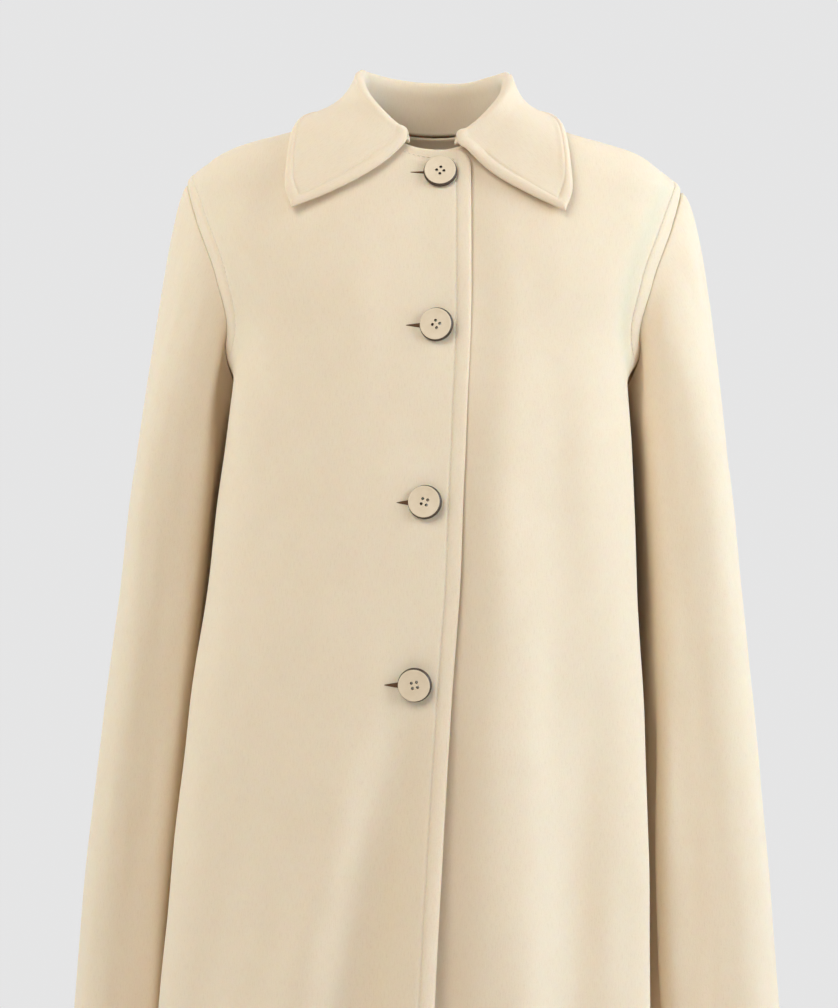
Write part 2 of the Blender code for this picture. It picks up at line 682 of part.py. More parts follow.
def paint(shape, name, colour, roughness):
    material = bpy.data.materials.get(name)
    if material is None:
        material = bpy.data.materials.new(name)
        material.use_nodes = True
        surface = material.node_tree.nodes["Principled BSDF"]
        surface.inputs["Base Color"].default_value = colour
        surface.inputs["Roughness"].default_value = roughness
        surface.inputs["Metallic"].default_value = 0.0
    shape.data.materials.append(material)


def main():
    for old in list(bpy.data.objects):
        bpy.data.objects.remove(old, do_unlink=True)
    coat = bpy.data.collections.new("wool_coat")
    cutters = bpy.data.collections.new("cutters")
    for group in (coat, cutters):
        bpy.context.scene.collection.children.link(group)

    grids = {RIGHT: front_panel(RIGHT), LEFT: front_panel(LEFT), "back": back_panel()}
    parts = [
        panel("front_right", *grids[RIGHT], "front"),
        panel("front_left", *grids[LEFT], "front"),
        panel("back", *grids["back"], "back"),
    ]
    body = outer_tree(parts)
    for name, side in (("sleeve_right", RIGHT), ("sleeve_left", LEFT)):
        parts.append(sleeve(name, side, armhole_normals(side, grids[side][1], grids["back"][1])))
    parts.append(collar("collar", {key: of[0] for key, of in grids.items()}, body))
    for part in parts:
        paint(part, "wool", CREAM, 0.9)
    for number, row in enumerate(BUTTONS, 1):
        part = button("button_%d" % number, row, cutters)
        paint(part, "button", HORN, 0.5)
        parts.append(part)
    for part in parts:
        coat.objects.link(part)


main()
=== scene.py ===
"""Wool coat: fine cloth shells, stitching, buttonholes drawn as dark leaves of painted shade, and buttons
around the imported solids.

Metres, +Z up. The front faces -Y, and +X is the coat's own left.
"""

import math

import bmesh
import bpy
import numpy as np
from mathutils import Matrix, Vector
from mathutils.bvhtree import BVHTree
from mathutils.kdtree import KDTree


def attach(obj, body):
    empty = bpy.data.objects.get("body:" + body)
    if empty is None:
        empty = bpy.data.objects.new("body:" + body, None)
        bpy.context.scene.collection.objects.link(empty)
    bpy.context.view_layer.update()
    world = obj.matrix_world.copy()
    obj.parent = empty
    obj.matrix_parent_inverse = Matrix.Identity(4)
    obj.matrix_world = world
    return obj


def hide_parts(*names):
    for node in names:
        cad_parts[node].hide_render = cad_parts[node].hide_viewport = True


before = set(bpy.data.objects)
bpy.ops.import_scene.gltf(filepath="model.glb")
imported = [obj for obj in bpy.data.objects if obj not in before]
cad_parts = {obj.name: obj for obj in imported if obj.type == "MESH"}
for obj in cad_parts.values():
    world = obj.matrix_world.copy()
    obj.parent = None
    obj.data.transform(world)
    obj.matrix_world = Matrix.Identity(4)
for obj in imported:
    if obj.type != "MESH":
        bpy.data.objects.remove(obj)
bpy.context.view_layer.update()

# The coat's own sides, as signs of x
RIGHT, LEFT = -1.0, 1.0

# Cloth
CLOTH = 0.0028
COLLAR_CLOTH = 0.0046
SEAM_GAP = 0.0003

# Heights
HEM_Z = -1.020
UNDERARM_Z = -0.250
TIP_Z = -0.066
NECK_SIDE_Z = -0.003
NECK_FRONT_Z = -0.040
NECK_BACK_Z = -0.014
NECK_ROUND = 2.4

# Body form: one row for each horizontal section
TORSO_COLUMNS = ("z", "half_width", "front", "back", "dent", "sway")
TORSO = (
    (0.000, 0.0640, 0.070, 0.064, 0.000, 0.000),
    (-0.003, 0.0740, 0.071, 0.067, 0.000, 0.000),
    (-0.019, 0.1190, 0.079, 0.083, 0.000, 0.000),
    (-0.033, 0.1690, 0.085, 0.092, 0.000, 0.000),
    (-0.046, 0.1920, 0.091, 0.100, 0.000, 0.000),
    (-0.066, 0.2115, 0.099, 0.108, 0.000, 0.000),
    (-0.100, 0.2110, 0.113, 0.118, 0.000, 0.000),
    (-0.150, 0.2020, 0.128, 0.127, 0.000, 0.000),
    (-0.200, 0.1880, 0.139, 0.133, 0.002, -0.001),
    (-0.250, 0.1950, 0.148, 0.138, 0.0275, -0.0035),
    (-0.290, 0.1995, 0.154, 0.141, 0.0275, -0.0050),
    (-0.330, 0.2025, 0.160, 0.144, 0.0260, -0.0070),
    (-0.400, 0.2085, 0.168, 0.150, 0.0270, -0.0095),
    (-0.500, 0.2190, 0.178, 0.158, 0.0320, -0.0155),
    (-0.600, 0.2275, 0.188, 0.169, 0.0355, -0.0205),
    (-0.700, 0.2345, 0.198, 0.180, 0.0385, -0.0250),
    (-0.850, 0.2430, 0.211, 0.196, 0.0430, -0.0300),
    (-1.020, 0.2540, 0.222, 0.212, 0.0240, -0.0360),
)
SQUARE_SIDE = 2.7
SQUARE_FRONT = 2.2
DENT_SPREAD = 0.50
SECTION_STEPS = 240
CHUNK = 4000

# The left shoulder hangs a little lower
TILT = 0.014
TILT_LOW_Z = -0.34
TILT_FADE = 0.20

# Front overlap: the right front lies above the left one
EDGE_TOP = 0.0305
EDGE_HEM = 0.022
EDGE_SWING_Z = -0.40
UNDERLAP = 0.028
CORNER_RADIUS = 0.014
LAP_STEP = 0.0046
LAP_FADE = 0.040
LIFT_HEM = 0.010
LIFT_START_Z = -0.45
LIFT_REACH = 0.060
LAP_BLEND = 0.015

# Armholes, as the angle that they bite into a section
BITE = {"front": 0.50, "back": 0.44}
BITE_POWER = 0.60

# Folds: face, start height, arc from the centre line at the start and at the hem (left positive), width, height
FOLDS = (
    ("front", -0.26, 0.078, 0.108, 0.026, 0.017),
    ("front", -0.34, 0.046, 0.056, 0.020, -0.009),
    ("front", -0.34, 0.124, 0.170, 0.026, -0.013),
    ("front", -0.40, -0.012, -0.140, 0.024, 0.016),
    ("front", -0.50, 0.004, -0.070, 0.022, -0.010),
    ("front", -0.40, -0.110, -0.215, 0.030, -0.012),
    ("back", -0.22, 0.082, 0.110, 0.034, 0.018),
    ("back", -0.30, 0.020, 0.040, 0.028, -0.014),
    ("back", -0.26, -0.050, -0.066, 0.030, 0.015),
    ("back", -0.36, -0.120, -0.150, 0.034, -0.013),
    ("back", -0.42, 0.165, 0.196, 0.026, -0.010),
)
FOLD_SIDE_FADE = 0.045
FOLD_NARROW, FOLD_WIDEN, FOLD_GROWTH = 0.75, 0.65, 1.1

# Sleeves: one row for each ring below the armhole
SLEEVE_COLUMNS = (
    "z", "outer_right", "outer_left", "half_right", "half_left", "half_depth", "centre_y",
)
SLEEVE = (
    (-0.300, 0.2550, 0.2510, 0.0350, 0.0400, 0.0730, 0.000),
    (-0.400, 0.2670, 0.2615, 0.0360, 0.0430, 0.0740, -0.001),
    (-0.520, 0.2820, 0.2740, 0.0372, 0.0475, 0.0740, -0.004),
    (-0.650, 0.2970, 0.2855, 0.0380, 0.0530, 0.0735, -0.008),
    (-0.785, 0.3080, 0.2955, 0.0388, 0.0550, 0.0725, -0.013),
)
# Powers of a ring's outline, the second one at its inner front corner
SLEEVE_SQUARE, SLEEVE_CORNER = 2.8, 7.0
# How far the inner front of a sleeve stands off the body, at which turn, and below which height
NUDGE, NUDGE_TURN, NUDGE_POWER = {RIGHT: 0.0, LEFT: 0.006}, 0.75, 4
NUDGE_Z, NUDGE_FADE = -0.250, 0.06
# How far the hidden inner back of a sleeve may move to the body, at which turn, and the room it leaves
TUCK, TUCK_TURN, TUCK_POWER, TUCK_FADE = 0.020, 0.75, 5, 0.045
TUCK_CLEAR, TUCK_ROUNDS = 0.0016, 6
SLEEVE_RIPPLE = 0.4
CAP_BULGE = {RIGHT: 0.0058, LEFT: 0.0095}
CAP_PEAK, CAP_SPREAD = 0.46, 1.5
UNDERARM_EASE = 0.003
UNDERARM_PEAK = 0.8
SEAM_CLEAR = 0.1 * SEAM_GAP
SLEEVE_END, SLEEVE_FADE, START_ROW = 0.009, 0.03, 6
MITRE_START, MITRE_FADE = 0.25, 0.012

# Collar: one row for each station from the centre back to the front end
COLLAR_COLUMNS = ("share", "stand", "lean", "fall_x", "fall_y", "fall_z")
COLLAR = (
    (0.00, 0.047, 0.004, 0.000, 0.120, -0.052),
    (0.20, 0.046, 0.005, 0.072, 0.104, -0.048),
    (0.48, 0.038, 0.016, 0.096, 0.010, -0.010),
    (0.66, 0.030, 0.013, 0.110, -0.058, -0.036),
    (0.84, 0.020, 0.007, 0.120, -0.100, -0.070),
    (1.00, 0.011, 0.002, 0.114, -0.112, -0.091),
)
COLLAR_END = {RIGHT: 0.021, LEFT: 0.017}
ROLL_RADIUS = 0.0062
ROLL_SHARE = 0.6
COLLAR_SEAT = 0.8 * CLOTH
COLLAR_CLEAR = 0.0046
COLLAR_SHIFT = -0.005
COLLAR_ROUNDS = 5
LIFT_NEAR = 1.5
MOVE_ROUNDS = 2
FALL_PLUMB, FALL_SPRING = 0.35, 0.6
NECK_CENTRE = (0.0, 0.005)
STAND_STEPS, ROLL_STEPS, FALL_STEPS = 3, 4, 7
HALF_STATIONS = 26
COLLAR_TREE_Z = -0.20
COLLAR_INSET, COLLAR_REACH, COLLAR_STITCH_START = 0.018, 0.012, 22

# Buttons: height, distance from the front edge, turn of the holes, tilts in degrees
BUTTON_COLUMNS = ("z", "inset", "turn", "pitch", "yaw")
BUTTONS = (
    (-0.0605, 0.0255, 38.0, 0.0, -3.0),
    (-0.1900, 0.0280, 53.0, -5.0, -11.0),
    (-0.3360, 0.0310, -15.0, 0.0, -11.0),
    (-0.4840, 0.0310, 11.0, -11.0, -10.0),
)
BUTTON_ROWS = [dict(zip(BUTTON_COLUMNS, row)) for row in BUTTONS]
BUTTON_DIAMETER = 0.0282
BUTTON_THICK = 0.0042
BUTTON_HOLE = 0.0025
BUTTON_HOLE_PITCH = 0.0043
BUTTON_FOOT = 0.80
BUTTON_GAP = 1.4 * SEAM_GAP
BUTTON_STEPS, HOLE_STEPS = 72, 20
SEAT_STEP = 0.004
FACE_SHIFTS = ((-0.0002, 0.0005), (-0.0005, 0.0002), (-0.0005, 0.0002), (-0.00045, -0.0003))
BUTTON_SHARP = 42.0
# Shares of the radius and of the thickness, from the centre of the face round the edge to the underside
BUTTON_PROFILE = (
    (0.0, 0.86), (0.30, 0.865), (0.55, 0.88), (0.70, 0.905), (0.77, 0.935), (0.82, 0.972), (0.852, 0.992),
    (0.88, 1.0), (0.902, 0.992), (0.916, 0.970), (0.926, 0.93), (0.946, 0.84), (0.970, 0.72), (0.990, 0.58),
    (1.0, 0.44), (0.998, 0.32), (0.985, 0.20), (0.955, 0.11), (0.90, 0.04), (0.83, 0.01), (0.74, 0.0),
    (0.35, 0.0), (0.0, 0.0),
)
PALE_RINGS = 10

# Grid lines near an edge and its stitching, as distances from the edge
EDGE_LINES = (0.0, 0.0003, 0.0009, 0.0018, 0.003, 0.005, 0.0075, 0.0098, 0.0109, 0.0115, 0.012, 0.0125,
              0.0131, 0.0142, 0.016)
PLACKET_LINES = tuple(np.round(np.arange(0.0185, 0.0625, 0.0024), 5))
SEAM_LINES = (0.0, 0.0003, 0.0009, 0.0018, 0.003, 0.0048, 0.007, 0.0092, 0.0108, 0.0118, 0.0127, 0.0135,
              0.0143, 0.0152, 0.0162, 0.018, 0.0205, 0.024)
HEM_LINES = (0.0, 0.0003, 0.0009, 0.0018, 0.003, 0.0055)
HEM_CLEAR = 0.0095
COLLAR_LINES = (0.0, 0.0004, 0.001, 0.002, 0.0032, 0.005, 0.007, 0.0083, 0.009, 0.0095, 0.010, 0.0107,
                0.012, 0.0145)
MIDDLE_COLUMNS = 56
BACK_COLUMNS = 70
LOW_ROWS = 150
TOP_SHARES = (0.94, 0.955, 0.966, 0.973, 0.979, 0.985, 0.991, 0.996, 1.0)
UPPER_ROWS, UPPER_END = 44, 0.92
TOP_SLACK = 0.02
CREST, CREST_POWER = 0.6, 1.2
SLEEVE_RING = 84
SLEEVE_ROWS = 150
COLLAR_MIDDLE = 90
COLLAR_ACROSS = 52

# Edges and sewing
EDGE_ROUND, EDGE_DEPTH = 0.0025, 0.46
SEAM_ROUND, SEAM_DEPTH = 0.0022, 0.05
SEAM_FADE = 0.030
COLLAR_ROUND = 0.0044
EDGE_STITCH = 0.012
NECK_STITCH = 0.0073
STITCH_CORNER = 0.006
ARM_STITCH = 0.0135
COLLAR_STITCH = 0.0095
TICK_Z = -0.2075
GROOVE_DEPTH, GROOVE_WIDTH = 0.0007, 0.0010
BAND_PUFF = {"edge": 0.0006, "arm": 0.0006, "collar": 0.0010}
ARM_HOLLOW, ARM_HOLLOW_AT, ARM_HOLLOW_WIDTH = {RIGHT: 0.0010, LEFT: 0.0022}, 0.026, 0.012
ARM_GROOVE_DEPTH, ARM_GROOVE_WIDTH, ARM_SUNK = 0.0009, 0.0017, 1.6
JOIN_FADE = 0.008
DIMPLE, DIMPLE_WIDTH = 0.0006, 0.013
STITCH_LONG, STITCH_PITCH, STITCH_RADIUS = 0.0030, 0.0042, 0.00028
STITCH_FIRST, STITCH_AHEAD, STITCH_SUNK, STITCH_SIDES = 0.6, 0.0006, 0.55, 7
# One thread: share of its length, of its radius, and rise in radii
STITCH_PROFILE = (
    (0.0, 0.45, -1.5), (0.16, 0.92, -0.2), (0.5, 1.0, 0.35), (0.84, 0.92, -0.2), (1.0, 0.45, -1.5),
)
STITCH_HEM, NECK_RUN, TICK_DROP, SEAM_SHY = 0.004, 0.045, 0.006, 0.0002
# Steps of measured lines, and how far a groove, a band and a free edge are looked for
RIM_STEP, LINE_STEP = 0.0005, 0.0008
GROOVE_REACH, ARM_GROOVE_REACH, BAND_REACH, EDGE_REACH = 0.006, 0.008, 0.05, 0.004
TICK_FADE = 0.012
# Steps of a derivative, and where the grid beside the armhole turns level and along the shoulder seam
NORMAL_STEP, CHART_STEP, ARM_INSET = 0.0008, 0.001, 0.004
LEVEL_END, LEVEL_FADE, TIP_START, TIP_FADE = 0.08, 0.12, 0.90, 0.10
# Chart offset of a shell's inner layer
LAYER_SHIFT = (0.0, 0.0, 0.37)

# Buttonholes: how far the slit runs past the button's centre, and its half height there. Each slit is a dark
# leaf on the cloth, painted shade for the shadow inside the opening.
SLIT_COLUMNS = ("reach", "half_height")
SLITS = (
    (0.0250, 0.0009),
    (0.0255, 0.0017),
    (0.0235, 0.0020),
    (0.0250, 0.0020),
)
SLIT_FULL, SLIT_POWER = 0.5, 0.8
SLIT_TIP, SLIT_START, SLIT_CROWN, SLIT_DEEP = 0.00012, 0.003, 0.00025, 0.0007

# Creases: piece, arc (left positive) and height of the upper and of the lower end, width, height
CREASES = (
    ("front_right", -0.060, -0.10, -0.085, -0.34, 0.022, 0.0008),
    ("front_right", -0.105, -0.14, -0.135, -0.46, 0.026, -0.0010),
    ("front_right", -0.150, -0.30, -0.205, -0.72, 0.018, 0.0014),
    ("front_right", 0.002, -0.42, -0.074, -1.06, 0.021, -0.0145),
    ("front_right", -0.024, -0.42, -0.150, -1.02, 0.020, 0.0034),
    ("front_right", 0.020, -0.48, 0.010, -1.12, 0.016, 0.0055),
    ("front_left", 0.054, -0.06, 0.070, -1.06, 0.021, 0.0072),
    ("front_left", 0.104, -0.06, 0.134, -1.06, 0.021, -0.0042),
    ("front_left", 0.156, -0.36, 0.148, -1.10, 0.024, -0.0100),
    ("front_left", 0.207, -0.40, 0.230, -1.12, 0.017, 0.0060),
    ("front_left", 0.032, -0.16, 0.028, -1.36, 0.013, -0.0042),
    ("back", -0.090, -0.06, -0.110, -0.80, 0.026, 0.0030),
    ("back", 0.045, -0.09, 0.060, -0.92, 0.024, -0.0034),
    ("back", 0.130, -0.12, 0.150, -0.98, 0.024, 0.0032),
    ("back", -0.020, -0.42, -0.024, -1.02, 0.018, 0.0026),
    ("back", -0.170, -0.40, -0.215, -1.00, 0.018, 0.0024),
)

# Sleeve creases: side, turn in degrees from the inner line round the front and share of the length
# of the upper and of the lower end, width, height
SLEEVE_CREASES = (
    (RIGHT, 118.0, 0.05, 100.0, 0.60, 0.024, 0.0009),
    (RIGHT, 84.0, 0.20, 76.0, 0.98, 0.018, -0.0007),
    (RIGHT, 150.0, 0.30, 132.0, 0.99, 0.024, 0.0009),
    (RIGHT, 250.0, 0.15, 232.0, 0.95, 0.022, -0.0018),
    (LEFT, 104.0, -0.30, 92.0, 0.60, 0.036, 0.0056),
    (LEFT, 144.0, -0.25, 140.0, 0.13, 0.018, 0.0055),
    (LEFT, 40.0, 0.48, 24.0, 1.20, 0.014, -0.0075),
    (LEFT, 62.0, 0.52, 52.0, 1.10, 0.015, 0.0030),
    (LEFT, 142.0, 0.25, 126.0, 0.96, 0.024, 0.0014),
    (LEFT, 244.0, 0.18, 236.0, 0.92, 0.022, -0.0018),
)

# Slow unevenness of hanging cloth: waves a metre across and along, start, height
RIPPLES = (
    (9.0, 2.1, 0.4, 0.00042),
    (15.0, -3.7, 2.1, 0.00030),
    (5.0, 7.3, 4.4, 0.00034),
    (23.0, 4.9, 1.3, 0.00016),
)
RIPPLE_SEEDS = {"front_right": 0.3, "front_left": 1.9, "back": 3.1}
SLEEVE_SEED, COLLAR_SEED, SEED_STEP = 5.0, 7.0, 1.7
CREASE_TAPER = 0.35

# Camera and light
IMAGE_HIGH = 1008
PIXEL = 0.00086
CAMERA_AT = (-0.0129, -3.2, -0.337)
SENSOR = 36.0
FLOOR_Z, FLOOR_RADIUS = -1.42, 4.4
# Sky: horizon and dome ahead of the coat and behind it, and the directions where they mix
HORIZON_AHEAD, HORIZON_BEHIND = (0.42, 0.39, 0.36), (0.785, 0.785, 0.788)
DOME_AHEAD, DOME_BEHIND = (0.03, 0.03, 0.03), (0.88, 0.80, 0.76)
SKY_SIDES, SKY_LEVELS = (-0.1, 0.2), (0.22, 0.42)
# Lamps: name, place, aim, size, power, colour
LAMPS = (
    ("front", (-1.4, -3.1, 2.2), (0.0, 0.0, -0.35), 3.0, 127.0, (0.88, 0.92, 0.985)),
    ("key", (2.6, -0.9, 0.7), (0.0, 0.0, -0.35), 2.4, 96.0, (0.65, 0.80, 1.0)),
    ("fill", (-2.4, -0.5, 0.6), (0.0, 0.0, -0.35), 2.0, 14.0, (0.60, 0.82, 1.0)),
    ("rim right", (2.4, 0.6, 0.7), (0.0, 0.0, -0.45), 1.6, 10.0, (0.66, 0.84, 1.0)),
    ("rim left", (-2.4, 0.6, 0.7), (0.0, 0.0, -0.45), 1.6, 15.0, (0.66, 0.84, 1.0)),
    ("back", (-0.8, 2.9, 1.3), (0.0, 0.0, -0.5), 2.2, 10.0, (1.0, 0.985, 0.965)),
)


# Curves through the rows of a table
def hermite(at, knots, values, tangent):
    i = np.clip(np.searchsorted(knots, at) - 1, 0, len(knots) - 2)
    step = knots[i + 1] - knots[i]
    t = (at - knots[i]) / step
    if values.ndim > 1:
        spread = (slice(None),) + (None,) * (values.ndim - 1)
        step, t = step[spread], t[spread]
    near = (1 + 2 * t) * (1 - t) ** 2 * values[i] + t * (1 - t) ** 2 * step * tangent[i]
    far = t * t * (3 - 2 * t) * values[i + 1] + t * t * (t - 1) * step * tangent[i + 1]
    return near + far


def monotone(at, knots, values):
    """Cubic through the knots that adds no bump between them."""
    knots, values = np.asarray(knots, float), np.asarray(values, float)
    if knots[0] > knots[-1]:
        knots, values = knots[::-1], values[::-1]
    slope = np.diff(values) / np.diff(knots)
    tangent = np.zeros_like(values)
    tangent[0], tangent[-1] = slope[0], slope[-1]
    same = slope[:-1] * slope[1:] > 0
    total = np.where(same, slope[:-1] + slope[1:], 1.0)
    tangent[1:-1] = np.where(same, 2 * slope[:-1] * slope[1:] / total, 0.0)
    return hermite(np.clip(np.asarray(at, float), knots[0], knots[-1]), knots, values, tangent)


def through(at, knots, values):
    """Smooth cubic through points."""
    knots, values = np.asarray(knots, float), np.asarray(values, float)
    return hermite(np.asarray(at, float), knots, values, np.gradient(values, knots, axis=0))


def column(table, names, name):
    return np.array([row[names.index(name)] for row in table])


def torso(name, z):
    return monotone(z, column(TORSO, TORSO_COLUMNS, "z"), column(TORSO, TORSO_COLUMNS, name))


def ease(t):
    t = np.clip(t, 0.0, 1.0)
    return t * t * (3 - 2 * t)


def bell(off, width):
    return np.exp(-((off / width) ** 2))


def pushed(points, normals, by):
    return points + normals * by[..., None]


def unit(v):
    return v / np.maximum(np.linalg.norm(v, axis=-1, keepdims=True), 1e-12)


def walked(points):
    step = np.linalg.norm(np.diff(points, axis=0), axis=1)
    return np.concatenate([[0.0], np.cumsum(step)])


def row_lengths(grid):
    """Mean distance of each row of a grid from the first one, along the grid."""
    between = np.linalg.norm(np.diff(grid, axis=0), axis=2).mean(axis=1)
    return np.concatenate([[0.0], np.cumsum(between)])


def with_ends(total, lines, inset, count):
    """Even distances over a length, with closer lines at both ends."""
    ends = np.array(lines)
    return np.concatenate([ends, np.linspace(inset, total - inset, count), total - ends[::-1]])


def at_lengths(at, along, line):
    """Points of a line at distances along it."""
    return np.stack([np.interp(at, along, line[:, k]) for k in range(line.shape[1])], axis=-1)


def spaced(line, step):
    """Points along a line, about a step apart."""
    along = walked(line)
    at = np.linspace(0.0, along[-1], max(2, int(round(along[-1] / step)) + 1))
    return at_lengths(at, along, line)


def tilted(points):
    out = np.array(points, float)
    out[..., 2] -= TILT * out[..., 0] * ease((out[..., 2] - TILT_LOW_Z) / TILT_FADE)
    return out


# Body form, measured by arc distance from the centre line and by height
def sections(z, face):
    """Half sections at heights z, from the centre line to the side: x, y, arc length and angle."""
    z = np.atleast_1d(np.asarray(z, float))
    angle = np.linspace(0.0, math.pi / 2, SECTION_STEPS)
    x = torso("half_width", z)[:, None] * np.sin(angle) ** (2 / SQUARE_SIDE)
    x = x - torso("dent", z)[:, None] * np.exp(-(((math.pi / 2 - angle) / DENT_SPREAD) ** 4))
    y = torso(face, z)[:, None] * np.clip(np.cos(angle), 0.0, 1.0) ** (2 / SQUARE_FRONT)
    y[:, -1] = 0.0
    x[:, 0] = 0.0
    if face == "front":
        y = -y
    step = np.hypot(np.diff(x, axis=1), np.diff(y, axis=1))
    arc = np.concatenate([np.zeros((len(z), 1)), np.cumsum(step, axis=1)], axis=1)
    return x, y, arc, angle


def arc_at_angle(z, at, face):
    x, y, arc, angle = sections(z, face)
    return np.array([np.interp(a, angle, row) for a, row in zip(np.atleast_1d(at), arc)])


def side_arc(z, face):
    return sections(z, face)[2][:, -1]


def fold_height(signed_arc, z, face, limit):
    height = np.zeros_like(z)
    for of_face, start_z, at_start, at_hem, width, tall in FOLDS:
        if of_face == face:
            down = np.clip((start_z - z) / (start_z - HEM_Z), 0.0, 1.0)
            centre = at_start + (at_hem - at_start) * down
            spread = width * (FOLD_NARROW + FOLD_WIDEN * down)
            height += tall * down**FOLD_GROWTH * bell(signed_arc - centre, spread)
    return height * ease((limit - np.abs(signed_arc)) / FOLD_SIDE_FADE)


def form_chunk(arc, z, lap, side, face):
    x, y, length, angle = sections(z, face)
    reach = np.minimum(np.abs(arc), length[:, -1])
    i = np.clip((length < reach[:, None]).sum(axis=1), 1, SECTION_STEPS - 1)
    row = np.arange(len(z))
    t = (reach - length[row, i - 1]) / np.maximum(length[row, i] - length[row, i - 1], 1e-12)
    px = x[row, i - 1] + t * (x[row, i] - x[row, i - 1])
    py = y[row, i - 1] + t * (y[row, i] - y[row, i - 1])
    lo, hi = np.maximum(i - 3, 0), np.minimum(i + 2, SECTION_STEPS - 1)
    tx, ty = x[row, hi] - x[row, lo], y[row, hi] - y[row, lo]
    norm = np.maximum(np.hypot(tx, ty), 1e-12)
    out = 1.0 if face == "front" else -1.0
    push = fold_height(side * arc, z, face, length[:, -1]) + lap
    px = (px + out * ty / norm * push) * np.where(arc < 0, -1.0, 1.0)
    py = py - out * tx / norm * push
    return tilted(np.stack([side * px + torso("sway", z), py, z], axis=-1))


def on_form(arc, z, side, face, lap=0.0):
    """Points of the form at arc distances and heights, pushed out by the folds and by lap."""
    arc, z, lap = np.broadcast_arrays(np.asarray(arc, float), np.asarray(z, float), lap)
    flat = [a.ravel() for a in (arc, z, lap)]
    parts = []
    for start in range(0, arc.size, CHUNK):
        parts.append(form_chunk(*[a[start:start + CHUNK] for a in flat], side, face))
    return np.concatenate(parts).reshape(arc.shape + (3,))


# Cut lines of the panels, as arc and height
def armhole(shares, face):
    """Armhole at shares of its length, from the underarm to the shoulder tip."""
    t = (1 - np.cos(np.linspace(0.0, math.pi, 400))) / 2
    z = UNDERARM_Z + (TIP_Z - UNDERARM_Z) * t
    angle = math.pi / 2 - BITE[face] * np.clip(np.sin(math.pi * t), 0.0, 1.0) ** BITE_POWER
    angle[0] = angle[-1] = math.pi / 2
    arc = arc_at_angle(z, angle, face)
    along = walked(on_form(arc, z, LEFT, face))
    at = np.asarray(shares) * along[-1]
    return np.interp(at, along, arc), np.interp(at, along, z)


def neckline(t, face):
    """Neckline from the centre (t = 0) to the shoulder-neck point (t = 1)."""
    turn = np.asarray(t) * math.pi / 2
    centre_z = NECK_FRONT_Z if face == "front" else NECK_BACK_Z
    z = NECK_SIDE_Z + (centre_z - NECK_SIDE_Z) * np.clip(np.cos(turn), 0.0, 1.0) ** NECK_ROUND
    share = torso("half_width", NECK_SIDE_Z) * np.sin(turn) / torso("half_width", z)
    angle = np.arcsin(np.clip(share, 0.0, 1.0) ** (SQUARE_SIDE / 2))
    return arc_at_angle(z, angle, face), z


def front_edge(z):
    """Distance of the visible front edge past the centre line."""
    down = np.clip((EDGE_SWING_Z - z) / (EDGE_SWING_Z - HEM_Z), 0.0, 1.0)
    return EDGE_TOP + (EDGE_HEM - EDGE_TOP) * down


def under_edge(z):
    return UNDERLAP + 0.0 * z


def centre_line(z):
    return 0.0 * z


def top_line(arcs, edge, face):
    """Heights of a panel's top cut, neckline then shoulder seam."""
    neck_arc, neck_z = neckline(np.linspace(0.0, 1.0, 60), face)
    slope_z = np.linspace(NECK_SIDE_Z, TIP_Z, 60)
    arc = np.concatenate([[-1.0], neck_arc, side_arc(slope_z, face)[1:]])
    height = np.interp(arcs, arc, np.concatenate([[neck_z[0]], neck_z, slope_z[1:]]))
    if edge > 0:
        inset = np.clip(CORNER_RADIUS - (arcs + edge), 0.0, CORNER_RADIUS)
        height = height - (CORNER_RADIUS - np.sqrt(CORNER_RADIUS**2 - inset**2))
    return height


def lap_push(arc, z, side):
    """How far the overlap stands off the form: the right front above, the left one beneath."""
    if side == RIGHT:
        down = ease((LIFT_START_Z - z) / (LIFT_START_Z - HEM_Z))
        return LIFT_HEM * down * ease(1 - (arc + front_edge(z)) / LIFT_REACH)
    return -LAP_STEP * ease((front_edge(z) + LAP_FADE - arc) / LAP_FADE)


def cloth(arc, z, side, face):
    return on_form(arc, z, side, face, lap_push(arc, z, side) if face == "front" else 0.0)


def cloth_normal(arc, z, side, face):
    """Outward normal of the form."""
    step = NORMAL_STEP
    across = cloth(arc + step, z, side, face) - cloth(arc - step, z, side, face)
    up = cloth(arc, z + step, side, face) - cloth(arc, z - step, side, face)
    return unit(np.cross(across, up)) * side * (1.0 if face == "front" else -1.0)


def inward(face, arc, z, shares):
    """Chart steps square to the armhole, a metre long on the cloth.

    They are level at the underarm and run along the shoulder seam at the tip.
    """
    step, at = CHART_STEP, arc - ARM_INSET
    along_arc = (on_form(at + step, z, LEFT, face) - on_form(at - step, z, LEFT, face)) / (2 * step)
    along_z = (on_form(at, z + step, LEFT, face) - on_form(at, z - step, LEFT, face)) / (2 * step)
    pairs = ((along_arc, along_arc), (along_arc, along_z), (along_z, along_z))
    aa, az, zz = [(p * q).sum(axis=1) for p, q in pairs]
    ta, tz = np.gradient(arc), np.gradient(z)
    va, vz = -zz * tz - az * ta, az * tz + aa * ta
    size = np.sqrt(aa * va**2 + 2 * az * va * vz + zz * vz**2)
    low, high = 1 - ease((shares - LEVEL_END) / LEVEL_FADE), ease((shares - TIP_START) / TIP_FADE)
    va, vz = -low / np.sqrt(aa) + (1 - low) * va / size, (1 - low) * vz / size
    seam_z = TIP_Z + np.array([0.0, step])
    seam_arc = side_arc(seam_z, face)
    seam = np.linalg.norm(np.diff(on_form(seam_arc, seam_z, LEFT, face), axis=0))
    return (1 - high) * va + high * (seam_arc[1] - seam_arc[0]) / seam, (1 - high) * vz + high * step / seam


def upper_shares():
    return np.concatenate([np.linspace(0.0, UPPER_END, UPPER_ROWS), TOP_SHARES])


def low_heights():
    even = np.linspace(HEM_Z + HEM_CLEAR, UNDERARM_Z, LOW_ROWS)
    return np.concatenate([HEM_Z + np.array(HEM_LINES), even])


